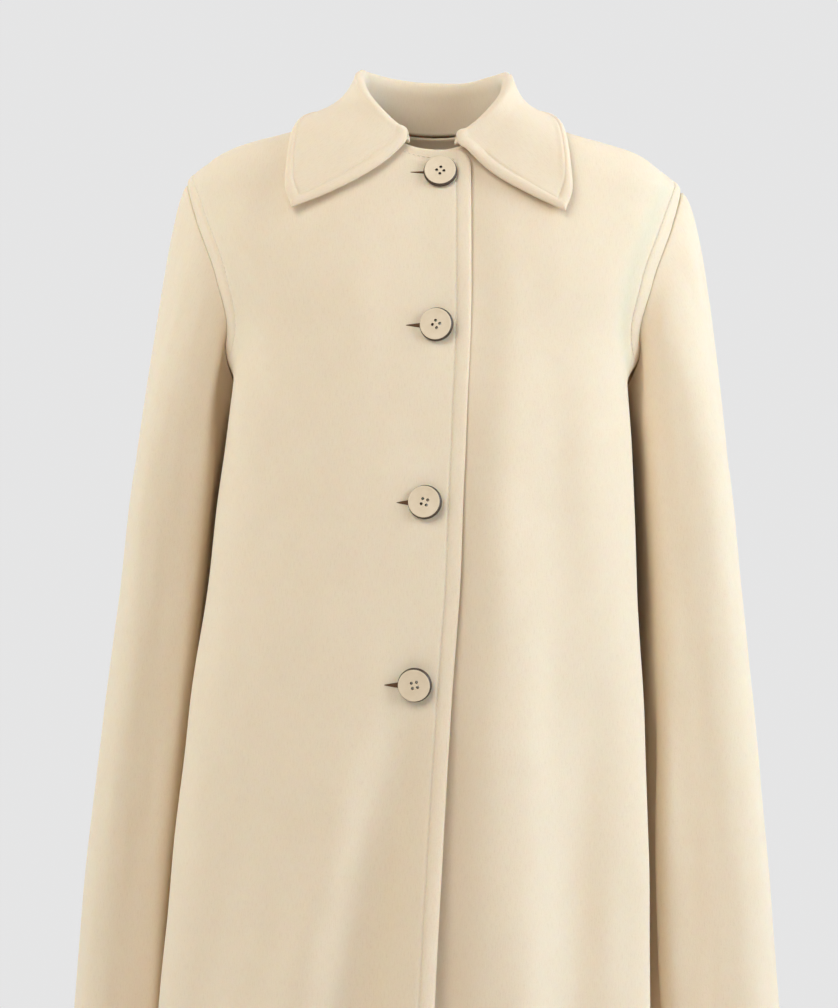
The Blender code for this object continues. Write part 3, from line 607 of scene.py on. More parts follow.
def panel_chart(face, edge_of, near, far, middle):
    """Arc and height grids of a half panel: rows go up, columns from the centre to the side."""
    shares, low_z = upper_shares(), low_heights()
    near, far = np.asarray(near), np.asarray(far)
    between = np.linspace(0.0, 1.0, middle + 2)[1:-1]
    hole_arc, hole_z = armhole(shares, face)
    va, vz = inward(face, hole_arc, hole_z, shares)
    far_arc, far_z = hole_arc[:, None] + va[:, None] * far, hole_z[:, None] + vz[:, None] * far
    edge = float(edge_of(np.array(0.0)))
    far_z[-1] = top_line(far_arc[-1], edge, face)
    far_z[-1, 0] = TIP_Z

    def columns(first, inner):
        start = (first + near[-1])[:, None]
        return np.concatenate([first[:, None] + near, start + (inner[:, None] - start) * between], axis=1)

    corner_z = float(top_line(np.array([-edge]), edge, face)[0])
    hole_climb = (hole_z - UNDERARM_Z) / (TIP_Z - UNDERARM_Z)
    side_climb = (far_z[:, -1] - UNDERARM_Z) / (far_z[-1, -1] - UNDERARM_Z)
    edge_climb = (0.5 * hole_climb + 0.5 * shares)[:, None]
    first = -edge_of(UNDERARM_Z + (corner_z - UNDERARM_Z) * edge_climb[:, 0])
    arc = columns(first, far_arc[:, -1])
    across = (arc[-1] - first[-1]) / (far_arc[-1, -1] - first[-1])
    crest = (shares + CREST * shares * (1 - shares))[:, None]
    climb = (1 - ease(across)) * edge_climb + ease(across) * side_climb[:, None]
    climb = climb + np.clip(np.sin(math.pi * across), 0.0, 1.0) ** CREST_POWER * (crest - climb)
    z = UNDERARM_Z + (top_line(arc[-1], edge, face) - UNDERARM_Z) * climb
    upper_arc = np.concatenate([arc, far_arc[:, ::-1]], axis=1)
    upper_z = np.concatenate([z, far_z[:, ::-1]], axis=1)
    upper_z = np.minimum(upper_z, top_line(upper_arc, edge, face) - TOP_SLACK * (1 - shares)[:, None])

    last = side_arc(low_z, face)
    lower_arc = columns(-edge_of(low_z), last - far[-1])
    lower_arc = np.concatenate([lower_arc, last[:, None] - far[::-1]], axis=1)
    lower_z = np.repeat(low_z[:, None], lower_arc.shape[1], axis=1)
    return np.concatenate([lower_arc, upper_arc[1:]]), np.concatenate([lower_z, upper_z[1:]])


# Relief on the form
def crease_height(table, key, across, along):
    """Soft ridges and troughs along straight lines of a chart, tapered at both ends."""
    height = np.zeros_like(along)
    for of, a0, b0, a1, b1, width, tall in table:
        if of == key:
            run = np.array([a1 - a0, b1 - b0])
            long = np.hypot(*run)
            run = run / long
            da, db = across - a0, along - b0
            at, off = (da * run[0] + db * run[1]) / long, da * run[1] - db * run[0]
            taper = ease(at / CREASE_TAPER) * ease((1 - at) / CREASE_TAPER)
            height += tall * taper * bell(off, width)
    return height


def ripple(across, along, seed):
    height = np.zeros_like(along)
    for k, (fast, slow, start, tall) in enumerate(RIPPLES):
        height += tall * np.sin(2 * math.pi * (fast * across + slow * along) + start + seed * (k + SEED_STEP))
    return height


def distance(points, line, reach):
    """Distance of points to a line, up to a reach."""
    tree = KDTree(len(line))
    for k, p in enumerate(line):
        tree.insert(p, k)
    tree.balance()
    flat = points.reshape(-1, 3)
    out = np.full(len(flat), reach)
    close = np.all((flat > line.min(axis=0) - reach) & (flat < line.max(axis=0) + reach), axis=1)
    for k in np.nonzero(close)[0]:
        out[k] = min(reach, tree.find(flat[k])[2])
    return out.reshape(points.shape[:-1])


def rounding(gap, width, depth):
    """Drop of a rounded edge at a distance from it."""
    t = np.clip(gap / width, 0.0, 1.0)
    return depth * (1 - np.sqrt(np.clip(1 - (1 - t) ** 2, 0.0, 1.0)))


def groove(gap, depth=GROOVE_DEPTH, width=GROOVE_WIDTH):
    return -depth * bell(gap, width)


def puff(gap, wide, tall):
    return tall * np.sin(math.pi * np.clip(gap / wide, 0.0, 1.0))


def seam_points(side, face):
    """Points of the armhole and of the side and shoulder seams of a half panel."""
    low, slope = np.linspace(HEM_Z, UNDERARM_Z, 1500), np.linspace(TIP_Z, NECK_SIDE_Z, 400)
    hole = cloth(*armhole(np.linspace(0.0, 1.0, 600), face), side, face)
    joins = [cloth(side_arc(z, face), z, side, face) for z in (low, slope)]
    return hole, np.concatenate(joins)


def settled(piece, arc, z, side, face):
    """Points and normals of the form, the rise of the cloth by its creases, and the distance to its seams."""
    points, normals = cloth(arc, z, side, face), cloth_normal(arc, z, side, face)
    gap = distance(points, np.concatenate(seam_points(side, face)), SEAM_FADE)
    across = side * arc
    rise = {of: crease_height(CREASES, of, across, z) + ripple(across, z, seed)
            for of, seed in RIPPLE_SEEDS.items()}
    if piece == "front_left":
        under = ease((front_edge(z) - across) / LAP_BLEND)
        rise[piece] = (1 - under) * rise[piece] + under * rise["front_right"]
    return points, normals, rise[piece] * ease(gap / SEAM_FADE), gap


# Meshes
def placed(name, data):
    made = bpy.data.objects.new(name, data)
    bpy.context.scene.collection.objects.link(made)
    return made


def skin_object(name, points, faces, chart=None):
    mesh = bpy.data.meshes.new(name)
    mesh.from_pydata(points.tolist(), [], faces)
    shape = bmesh.new()
    shape.from_mesh(mesh)
    bmesh.ops.recalc_face_normals(shape, faces=shape.faces)
    shape.to_mesh(mesh)
    shape.free()
    mesh.polygons.foreach_set("use_smooth", [True] * len(mesh.polygons))
    if chart is not None:
        weave = mesh.attributes.new("weave", "FLOAT_VECTOR", "POINT")
        weave.data.foreach_set("vector", np.asarray(chart, float).ravel())
    return placed(name, mesh)


def grid_quads(rows, cols, wrap=False):
    i, j = np.meshgrid(np.arange(rows - 1), np.arange(cols if wrap else cols - 1), indexing="ij")
    i, j, k = i.ravel(), j.ravel(), (j.ravel() + 1) % cols
    return np.stack([i * cols + j, i * cols + k, (i + 1) * cols + k, (i + 1) * cols + j], axis=-1)


def shell(name, outer, inner, across, along, wrap=False):
    """Closed cloth between two grids of points, with its chart kept for the weave."""
    rows, cols = outer.shape[:2]
    count = rows * cols
    quads = grid_quads(rows, cols, wrap)
    faces = quads.tolist() + (quads[:, ::-1] + count).tolist()
    rims = [np.arange(cols), (rows - 1) * cols + np.arange(cols)]
    if wrap:
        rims = [np.append(rim, rim[0]) for rim in rims]
    else:
        rims += [np.arange(rows) * cols, np.arange(rows) * cols + cols - 1]
    for rim in rims:
        faces += np.stack([rim[:-1], rim[1:], rim[1:] + count, rim[:-1] + count], axis=-1).tolist()
    points = np.concatenate([outer.reshape(-1, 3), inner.reshape(-1, 3)])
    one = np.stack([across.ravel(), along.ravel(), np.zeros(count)], axis=-1)
    return skin_object(name, points, faces, np.concatenate([one, one + LAYER_SHIFT]))


def stitches(name, lines):
    """Short threads along lines of points and normals, each end dipping into the cloth."""
    profile, sides = STITCH_PROFILE, STITCH_SIDES
    points, faces, chart = [], [], []
    turn = np.linspace(0.0, 2 * math.pi, sides + 1)[:-1]
    for line, normal in lines:
        along = walked(line)
        for start in np.arange(STITCH_FIRST * STITCH_PITCH, along[-1] - STITCH_LONG, STITCH_PITCH):
            first = len(points)
            for share, wide, rise in profile:
                at = start + share * STITCH_LONG
                spot = at_lengths(at, along, line)
                ahead = at_lengths(at + STITCH_AHEAD, along, line) - spot
                up = unit(at_lengths(at, along, normal))
                side = unit(np.cross(unit(ahead), up))
                spot = spot + up * rise * STITCH_RADIUS
                for a in turn:
                    points.append(spot + wide * STITCH_RADIUS * (math.cos(a) * side + math.sin(a) * up))
                    chart.append((at, a * STITCH_RADIUS, 0.0))
            for ring in range(len(profile) - 1):
                for k in range(sides):
                    a, b = first + ring * sides + k, first + ring * sides + (k + 1) % sides
                    faces.append((a, b, b + sides, a + sides))
            faces.append(tuple(first + k for k in range(sides)))
            faces.append(tuple(first + (len(profile) - 1) * sides + k for k in range(sides)))
    return skin_object(name, np.array(points), faces, np.array(chart))


# Body panels
def stitched(piece, arc, z, side, face, sunk=STITCH_SUNK):
    """Points and normals of a stitch line that follows the cloth."""
    points, normals, rise, gap = settled(piece, arc, z, side, face)
    return pushed(points, normals, rise - sunk * GROOVE_DEPTH), normals


def edge_chart():
    """Stitch line beside the front edge, round the corner and along the neck edge."""
    turn = np.linspace(math.pi, math.pi / 2, 12)
    hub_arc = -EDGE_TOP + EDGE_STITCH + STITCH_CORNER
    hub_z = float(top_line(np.array([hub_arc]), 0.0, "front")[0]) - NECK_STITCH - STITCH_CORNER
    z = np.linspace(HEM_Z + STITCH_HEM, hub_z, 700)
    neck = np.linspace(hub_arc, hub_arc + NECK_RUN, 46)
    arc = [-front_edge(z) + EDGE_STITCH, hub_arc + STITCH_CORNER * np.cos(turn), neck]
    height = [z, hub_z + STITCH_CORNER * np.sin(turn), top_line(neck, 0.0, "front") - NECK_STITCH]
    return spaced(np.stack([np.concatenate(arc), np.concatenate(height)], axis=-1), LINE_STEP).T


def arm_chart(face):
    """Stitch line beside the armhole down to its tick, and the tick."""
    shares = np.linspace(0.0, 1.0, 600)
    arc, z = armhole(shares, face)
    va, vz = inward(face, arc, z, shares)
    keep = z > TICK_Z
    line_arc, line_z = (arc + va * ARM_STITCH)[keep], (z + vz * ARM_STITCH)[keep]
    line_z = np.minimum(line_z, top_line(line_arc, 0.0, face) - SEAM_SHY)
    t = np.linspace(0.0, 1.0, 24)
    first = int(np.argmax(keep))
    tick = line_arc[0] + (arc[first] - line_arc[0]) * t, line_z[0] + (z[first] - TICK_DROP - line_z[0]) * t
    return spaced(np.stack([line_arc, line_z], axis=-1), LINE_STEP).T, np.stack(tick)


def button_spot(of):
    z = np.array([of["z"]])
    return of["inset"] - front_edge(z), z


def half_panel(piece, side, face, edge_of, near, middle):
    """Points, normals and chart of a half panel with its relief."""
    arc, z = panel_chart(face, edge_of, near, SEAM_LINES, middle)
    points, normals, whole, seam_gap = settled(piece, arc, z, side, face)
    shoulder = arc[-1] > side_arc(NECK_SIDE_Z, face)[0]
    flat = np.abs(points[..., 1]) < 1e-6
    flat[-1] |= shoulder
    normals[flat, 1] = 0.0
    normals = unit(normals)
    hole, joins = seam_points(side, face)
    join_gap = distance(points, joins, SEAM_FADE)
    sewn = np.concatenate([cloth(*chart, side, face) for chart in arm_chart(face)])
    free = np.concatenate([spaced(points[0], RIM_STEP), spaced(points[-1, ~shoulder], RIM_STEP)])
    if piece != "back":
        free = np.concatenate([free, spaced(points[:, 0], RIM_STEP)])
    surface = np.zeros_like(arc)
    if piece == "front_right":
        surface += groove(distance(points, cloth(*edge_chart(), side, face), GROOVE_REACH))
        surface += puff(arc + front_edge(z), EDGE_STITCH, BAND_PUFF["edge"])
        for of in BUTTON_ROWS:
            spot = cloth(*button_spot(of), side, face)
            gap = np.linalg.norm(points - spot[0], axis=-1)
            surface -= DIMPLE * bell(gap, DIMPLE_WIDTH)
    banded = hole[hole[:, 2] > TICK_Z]
    gap = distance(points, banded, BAND_REACH)
    above = ease((points[..., 2] - TICK_Z) / TICK_FADE)
    band = puff(gap, ARM_STITCH, BAND_PUFF["arm"]) * above
    band += groove(distance(points, sewn, ARM_GROOVE_REACH), ARM_GROOVE_DEPTH, ARM_GROOVE_WIDTH)
    hollow = ARM_HOLLOW[side] * bell(gap - ARM_HOLLOW_AT, ARM_HOLLOW_WIDTH) * (gap < BAND_REACH)
    surface += band * ease(join_gap / JOIN_FADE) - hollow * ease(join_gap / SEAM_FADE)
    worn = rounding(distance(points, free, EDGE_REACH), EDGE_ROUND, EDGE_DEPTH * CLOTH)
    sink = np.maximum(worn, rounding(seam_gap, SEAM_ROUND, SEAM_DEPTH * CLOTH))
    outer = pushed(points, normals, whole + surface - sink)
    inner = pushed(points, normals, whole - CLOTH + worn)
    keep = np.minimum if face == "front" else np.maximum
    limit = -SEAM_CLEAR if face == "front" else SEAM_CLEAR
    for layer in (outer, inner):
        layer[..., 1] = keep(layer[..., 1], limit)
        layer[flat, 1] = limit
    return outer, inner, side * arc, z


def body_panels():
    panels = {}
    for piece, side, edge_of in (("front_right", RIGHT, front_edge), ("front_left", LEFT, under_edge)):
        near = EDGE_LINES + PLACKET_LINES
        panels[piece] = half_panel(piece, side, "front", edge_of, near, MIDDLE_COLUMNS)
    halves = [half_panel("back", side, "back", centre_line, (0.0,), BACK_COLUMNS) for side in (LEFT, RIGHT)]
    panels["back"] = [np.concatenate([a[:, :0:-1], b], axis=1) for a, b in zip(*halves)]
    return panels


def panel_stitches(piece, side, face):
    lines = [stitched(piece, *chart, side, face, ARM_SUNK) for chart in arm_chart(face)]
    if piece == "front_right":
        lines.append(stitched(piece, *edge_chart(), side, face))
    return lines


# Sleeves
def ring(z, outer_x, half_width, half_depth, centre_y, side, count):
    """Sleeve ring from its inner point round the front, evenly spaced in each half."""
    turn = np.linspace(0.0, math.pi, 400)
    halves = []
    for ahead, corner in ((-1.0, SLEEVE_CORNER), (1.0, SLEEVE_SQUARE)):
        power = 2 / np.where(turn < math.pi / 2, corner, SLEEVE_SQUARE)
        across = np.sign(np.cos(turn)) * np.abs(np.cos(turn)) ** power
        x = outer_x - half_width - half_width * across
        y = centre_y + ahead * half_depth * np.clip(np.sin(turn), 0.0, 1.0) ** power
        half = np.stack([x, y, np.full_like(x, z)], axis=-1)
        along = walked(half)
        at = np.linspace(0.0, along[-1], count + 1)
        halves.append(at_lengths(at, along, half))
    points = np.concatenate([halves[0], halves[1][-2:0:-1]])
    points[:, 0] *= side
    return points


def around(of_face):
    """One value for each point of an armhole ring, from the underarm up the front and down the back."""
    front, back = of_face("front"), of_face("back")
    return np.concatenate([front, back[-2:0:-1]])


def tucked(grid, at, turn, side, tree):
    """Moves that lay the hidden back of a sleeve against the body."""
    want = TUCK * ease(at / TUCK_FADE)[:, None] * ((1 + np.cos(turn + TUCK_TURN)) / 2) ** TUCK_POWER
    for index in zip(*np.nonzero(want > TUCK_CLEAR / 8)):
        room = tree.ray_cast(Vector(grid[index]), Vector((-side, 0.0, 0.0)), 3 * TUCK)[3]
        want[index] = 0.0 if room is None else min(want[index], max(0.0, room - TUCK_CLEAR))
    for _ in range(TUCK_ROUNDS):
        near = np.minimum(np.roll(want, 1, axis=1), np.roll(want, -1, axis=1))
        want[1:-1] = np.minimum(want[1:-1], (want[:-2] + want[2:]) / 2 + TUCK_CLEAR / 4)
        want = np.minimum(want, near + TUCK_CLEAR / 2)
    return want


def sleeve(name, side, tree):
    """Sleeve cloth from armhole to cuff."""
    count = SLEEVE_RING
    shares = np.linspace(0.0, 1.0, count + 1)
    top = around(lambda face: on_form(*armhole(shares, face), side, face))
    body = around(lambda face: cloth_normal(*armhole(shares, face), side, face))
    wide, half = ("outer_left", "half_left") if side == LEFT else ("outer_right", "half_right")
    rings = [top + np.array([side * SEAM_CLEAR, 0.0, 0.0])]
    for row in SLEEVE:
        of = dict(zip(SLEEVE_COLUMNS, row))
        size = (of[half], of["half_depth"], of["centre_y"])
        rings.append(ring(of["z"], of[wide], *size, side, count))
    rings = np.array(rings)
    knots = row_lengths(rings)
    at = with_ends(knots[-1], HEM_LINES, SLEEVE_END, SLEEVE_ROWS)
    grid = through(at, knots, rings)
    turn = np.linspace(0.0, 2 * math.pi, 2 * count + 1)[:-1]
    down = np.clip(at / knots[1], 0.0, 1.0)[:, None]
    cap = CAP_BULGE[side] * np.sin(math.pi * down**CAP_PEAK) * ((1 - np.cos(turn)) / 2) ** CAP_SPREAD
    under = UNDERARM_EASE * np.sin(math.pi * down**UNDERARM_PEAK) * (1 + np.cos(turn)) / 2
    nudge = NUDGE[side] * ease((NUDGE_Z - grid[..., 2]) / NUDGE_FADE)
    nudge = nudge * ((1 + np.cos(turn - NUDGE_TURN)) / 2) ** NUDGE_POWER
    grid[..., 0] += side * (cap + under + nudge)
    grid[..., 0] -= side * tucked(grid, at, turn, side, tree)

    across = np.roll(grid, -1, axis=1) - np.roll(grid, 1, axis=1)
    normals = -side * unit(np.cross(across, np.gradient(grid, axis=0)))
    start = unit(grid[START_ROW] - grid[0])
    ridge = np.clip(-(start * body).sum(axis=1) / MITRE_START, 0.0, 1.0)[:, None]
    mitre = (1 - ease(at / MITRE_FADE))[:, None, None] * ridge
    flat = body.copy()
    flat[[0, count], 1] = 0.0
    normals = unit((1 - mitre) * normals + mitre * unit(flat))

    degrees = np.degrees(turn)[None, :] + 0.0 * at[:, None]
    length = at[:, None] / knots[-1] + 0.0 * degrees
    girth = walked(np.concatenate([grid[-1], grid[-1, :1]]))[-1]
    table = [(of, a / 360 * girth, b * knots[-1], c / 360 * girth, d * knots[-1], w, h)
             for of, a, b, c, d, w, h in SLEEVE_CREASES]
    around_at, along_at = degrees / 360 * girth, length * knots[-1]
    whole = crease_height(table, side, around_at, along_at)
    wave_at = np.round(4 * girth) / 4 * turn / (2 * math.pi) / girth + 0.0 * length
    wave = ripple(wave_at, along_at, SLEEVE_SEED + side)
    whole += SLEEVE_RIPPLE * wave
    whole *= ease(along_at / SLEEVE_FADE)
    worn = rounding(knots[-1] - along_at, EDGE_ROUND, EDGE_DEPTH * CLOTH)
    sink = np.maximum(rounding(along_at, SEAM_ROUND, SEAM_DEPTH * CLOTH), worn)
    outer = pushed(grid, normals, whole - sink)
    inner = pushed(grid, normals, whole - CLOTH + worn)
    return shell(name, outer, inner, around_at, along_at, wrap=True)


# Collar
def neck_path(side):
    """Neck seam of one half, from the centre back to the collar's end."""
    t = np.linspace(0.0, 1.0, 120)
    behind = cloth(*neckline(t, "back"), side, "back")
    ahead = cloth(*neckline(t[::-1], "front"), side, "front")
    ahead = ahead[side * ahead[:, 0] > COLLAR_END[side]]
    path = np.concatenate([behind, ahead[1:]])
    along = walked(path)
    at = np.linspace(0.0, along[-1], HALF_STATIONS)
    return at_lengths(at, along, path)


def collar_section(foot, inner, stand, lean, edge):
    """Points of one station: up the stand, over the roll and down the fall to the edge."""
    up = np.array([0.0, 0.0, 1.0])
    roll = min(ROLL_RADIUS, ROLL_SHARE * stand)
    hub = foot + inner * (lean - roll) + up * (stand - roll)
    rise = np.linspace(0.0, 1.0, STAND_STEPS + 1)[:-1, None]
    bow = rise * (1 - rise) * inner * lean
    turn = np.linspace(0.0, math.pi, ROLL_STEPS + 1)[:, None]
    t = np.linspace(0.0, 1.0, FALL_STEPS + 1)[1:, None]
    bend = hub + roll * (inner * np.cos(turn) + up * np.sin(turn))
    start = bend[-1]
    plumb = start - up * FALL_PLUMB * np.linalg.norm(edge - start)
    lead = FALL_SPRING * plumb + (1 - FALL_SPRING) * (start + edge) / 2
    fall = (1 - t) ** 2 * start + 2 * t * (1 - t) * lead + t * t * edge
    return np.concatenate([foot + (bend[0] - foot) * rise + bow, bend, fall])


def collar_half(side):
    """Upper face of half the collar: rows are stations from the centre back, columns go up and over."""
    path = neck_path(side)
    share = walked(path) / walked(path)[-1]
    of = {name: column(COLLAR, COLLAR_COLUMNS, name) for name in COLLAR_COLUMNS}
    stand, lean = [monotone(share, of["share"], of[name]) for name in ("stand", "lean")]
    edge = through(share, of["share"], np.stack([of["fall_x"], of["fall_y"], of["fall_z"]], axis=-1))
    edge[:, 0] = side * edge[:, 0] + COLLAR_SHIFT
    edge = tilted(edge)
    rows = []
    for k, seam in enumerate(path):
        inner = unit(np.array([NECK_CENTRE[0] - seam[0], NECK_CENTRE[1] - seam[1], 0.0]))
        foot = seam + inner * COLLAR_SEAT + np.array([0.0, 0.0, 2 * SEAM_GAP])
        rows.append(collar_section(foot, inner, stand[k], lean[k], edge[k]))
    return np.array(rows)


def grid_normals(grid):
    return unit(np.cross(np.gradient(grid, axis=1), np.gradient(grid, axis=0)))


def body_tree(panels, low):
    """Search tree of the outer faces of the panels above a height."""
    points, faces = [], []
    for piece, (outer, inner, across, z) in panels.items():
        rows = np.nonzero(z.max(axis=1) > low)[0]
        part = outer[rows[0]:]
        quads = grid_quads(*part.shape[:2]) + len(points)
        faces += (quads[:, ::-1] if piece == "front_right" else quads).tolist()
        points += part.reshape(-1, 3).tolist()
    return BVHTree.FromPolygons(points, faces)


def lift_off(points, tree, need):
    """Moves along the body's normal that bring each point at least need away from it."""
    move = np.zeros_like(points)
    for index in np.ndindex(points.shape[:2]):
        spot, normal, face, far = tree.find_nearest(Vector(points[index]))
        above = (Vector(points[index]) - spot).dot(normal)
        if above < need and (far < LIFT_NEAR * need or above < -LIFT_NEAR * far / 3):
            move[index] = np.array(normal) * (need - above)
    for _ in range(MOVE_ROUNDS):
        move[:, 1:-1] = 0.5 * move[:, 1:-1] + 0.25 * (move[:, :-2] + move[:, 2:])
        move[1:-1] = 0.5 * move[1:-1] + 0.25 * (move[:-2] + move[2:])
    return move


def collar_face(tree):
    """Upper face of the collar on a fine grid, and its two lengths."""
    grid = np.concatenate([collar_half(RIGHT)[:0:-1], collar_half(LEFT)])
    first = STAND_STEPS + ROLL_STEPS + 1
    for _ in range(COLLAR_ROUNDS):
        along = grid[:-2, first:-1] + grid[2:, first:-1]
        over = grid[1:-1, first - 1:-2] + grid[1:-1, first + 1:]
        grid[1:-1, first:-1] = 0.6 * grid[1:-1, first:-1] + 0.1 * (along + over)
        grid[:, first:] += lift_off(grid[:, first:], tree, COLLAR_CLOTH + COLLAR_CLEAR)
        under = grid + COLLAR_CLOTH * grid_normals(grid)
        grid[:, first:] += lift_off(under[:, first:], tree, COLLAR_CLEAR)
    knots, ends = row_lengths(grid), np.array(COLLAR_LINES)
    station = with_ends(knots[-1], COLLAR_LINES, COLLAR_INSET, COLLAR_MIDDLE)
    coarse = through(station, knots, grid)
    fine, across = [], []
    for section in coarse:
        length = walked(section)
        even = np.linspace(0.0, length[-1] - COLLAR_INSET, COLLAR_ACROSS)
        at = np.concatenate([even, length[-1] - ends[::-1]])
        fine.append(through(at, length, section))
        across.append(at)
    return np.array(fine), station[:, None] + 0.0 * np.array(across), np.array(across)


def collar(name, tree):
    """Collar of two layers, rounded and stitched along its outer edge and its ends."""
    grid, along, across = collar_face(tree)
    normals = -grid_normals(grid)
    start, sewn = COLLAR_STITCH_START, COLLAR_LINES.index(COLLAR_STITCH)
    ends, edge = (sewn, len(grid) - 1 - sewn), grid.shape[1] - 1 - sewn
    paths = [(grid[ends[0]:ends[1] + 1, edge], normals[ends[0]:ends[1] + 1, edge])]
    for end in ends:
        paths.append((grid[end, start:edge + 1], normals[end, start:edge + 1]))
    rim = np.concatenate([spaced(line, RIM_STEP) for line in (grid[0], grid[-1], grid[:, -1])])
    gap = distance(grid, rim, COLLAR_REACH)
    surface = puff(gap, COLLAR_STITCH, BAND_PUFF["collar"])
    surface += groove(distance(grid, np.concatenate([spaced(p, RIM_STEP) for p, n in paths]), GROOVE_REACH))
    surface += ripple(along, across, COLLAR_SEED) * ease(gap / COLLAR_REACH)
    sink = rounding(gap, COLLAR_ROUND, EDGE_DEPTH * COLLAR_CLOTH)
    outer = pushed(grid, normals, surface - sink)
    inner = pushed(grid, normals, sink - COLLAR_CLOTH)
    threads = [(p - n * STITCH_SUNK * GROOVE_DEPTH, n) for p, n in paths]
    return shell(name, outer, inner, along, across), stitches("stitches_collar", threads)


# Buttons, and buttonholes drawn as dark leaves of painted shade
def button_pose(of):
    """Seat of a button on the right front, tilted and lifted until its rim clears the cloth."""
    arc, z = button_spot(of)

    def seat_at(da, dz):
        return cloth(arc + da, z + dz, RIGHT, "front")[0]

    up = seat_at(0.0, SEAT_STEP) - seat_at(0.0, -SEAT_STEP)
    across = seat_at(SEAT_STEP, 0.0) - seat_at(-SEAT_STEP, 0.0)
    normal, plumb = Vector(unit(np.cross(up, across))), Vector((0.0, 0.0, 1.0))
    level = normal.cross(plumb).normalized()
    pitch = Matrix.Rotation(math.radians(of["pitch"]), 3, level)
    face = pitch @ Matrix.Rotation(math.radians(of["yaw"]), 3, "Z") @ normal
    side = plumb.cross(face).normalized()
    axes = Matrix((side, face.cross(side), face)).transposed().to_4x4()
    lift = BUTTON_FOOT * BUTTON_DIAMETER / 2 * math.sqrt(max(0.0, 1 - face.dot(normal) ** 2))
    seat = Vector(seat_at(0.0, 0.0)) + normal * (BUTTON_GAP + lift)
    return Matrix.Translation(seat) @ axes @ Matrix.Rotation(math.radians(of["turn"]), 4, "Z")


def button(name, of, shift, face_look, edge_look):
    """Turned four-hole button: pale face with a fine rim, a little off centre, dark side and holes."""
    radius, thick = BUTTON_DIAMETER / 2, BUTTON_THICK
    back = -math.radians(of["turn"])
    off_x = shift[0] * math.cos(back) - shift[1] * math.sin(back)
    off_y = shift[0] * math.sin(back) + shift[1] * math.cos(back)
    shape = bmesh.new()
    rings = []
    for level, (r, h) in enumerate(BUTTON_PROFILE):
        share = 1.0 if level <= PALE_RINGS else 0.0
        x, y = share * off_x, share * off_y
        if r == 0.0:
            rings.append([shape.verts.new((x, y, h * thick))] * BUTTON_STEPS)
            continue
        turn = [2 * math.pi * k / BUTTON_STEPS for k in range(BUTTON_STEPS)]
        rings.append([shape.verts.new((x + r * radius * math.cos(a), y + r * radius * math.sin(a), h * thick))
                      for a in turn])
    for level, (upper, lower) in enumerate(zip(rings[:-1], rings[1:])):
        for k in range(BUTTON_STEPS):
            m = (k + 1) % BUTTON_STEPS
            corners = list(dict.fromkeys((upper[k], lower[k], lower[m], upper[m])))
            shape.faces.new(corners).material_index = 0 if level < PALE_RINGS else 1
    bmesh.ops.recalc_face_normals(shape, faces=shape.faces)
    body = bpy.data.meshes.new(name)
    shape.to_mesh(body)
    shape.free()
    for look in (face_look, edge_look):
        body.materials.append(look)
    made = placed(name, body)

    holes = bmesh.new()
    out = BUTTON_HOLE_PITCH / math.sqrt(2)
    for k in range(4):
        turn = math.radians(45 + 90 * k)
        at = Matrix.Translation((out * math.cos(turn), out * math.sin(turn), BUTTON_THICK / 2))
        bmesh.ops.create_cone(holes, cap_ends=True, segments=HOLE_STEPS, radius1=BUTTON_HOLE / 2,
                              radius2=BUTTON_HOLE / 2, depth=6 * thick, matrix=at)
    for face in holes.faces:
        face.material_index = 1
    cut = bpy.data.meshes.new(name + "_holes")
    holes.to_mesh(cut)
    holes.free()
    for look in (face_look, edge_look):
        cut.materials.append(look)
    cutter = placed(name + "_holes", cut)
    drill = made.modifiers.new("holes", "BOOLEAN")
    drill.operation, drill.object, drill.solver = "DIFFERENCE", cutter, "EXACT"
    done = bpy.data.meshes.new_from_object(made.evaluated_get(bpy.context.evaluated_depsgraph_get()))
    made.modifiers.clear()
    made.data = done
    bpy.data.objects.remove(cutter, do_unlink=True)
    for polygon in done.polygons:
        polygon.use_smooth = True
    done.set_sharp_from_angle(angle=math.radians(BUTTON_SHARP))
    done.transform(button_pose(of))
    return made


def slit_shade(name, of_button, cut):
    """Painted shade of the opening in the cloth: a thin dark leaf that narrows away from the button, standing
    in for the shadow inside the opening.
    """
    arc0, z0 = button_spot(of_button)
    of = dict(zip(SLIT_COLUMNS, cut))
    run = np.linspace(0.0, 1.0, 25)
    wide = of["half_height"] * np.clip(run / SLIT_FULL, 0.0, 1.0) ** SLIT_POWER + SLIT_TIP
    across = np.linspace(-1.0, 1.0, 9)
    arc = arc0 + of["reach"] + (SLIT_START - of["reach"]) * run[:, None] + 0.0 * across
    z = z0 + wide[:, None] * across
    base, normal, rise, far = settled("front_right", arc, z, RIGHT, "front")
    base = pushed(base, normal, rise)
    spot = cloth(arc0, z0, RIGHT, "front")[0]
    gap = np.linalg.norm(base - spot, axis=-1)
    base -= normal * (DIMPLE * bell(gap, DIMPLE_WIDTH))[..., None]
    crown = SLIT_CROWN + SLIT_CROWN * (1 - across**2)
    return shell(name, base + normal * crown[:, None], base - normal * SLIT_DEEP, -arc, z)


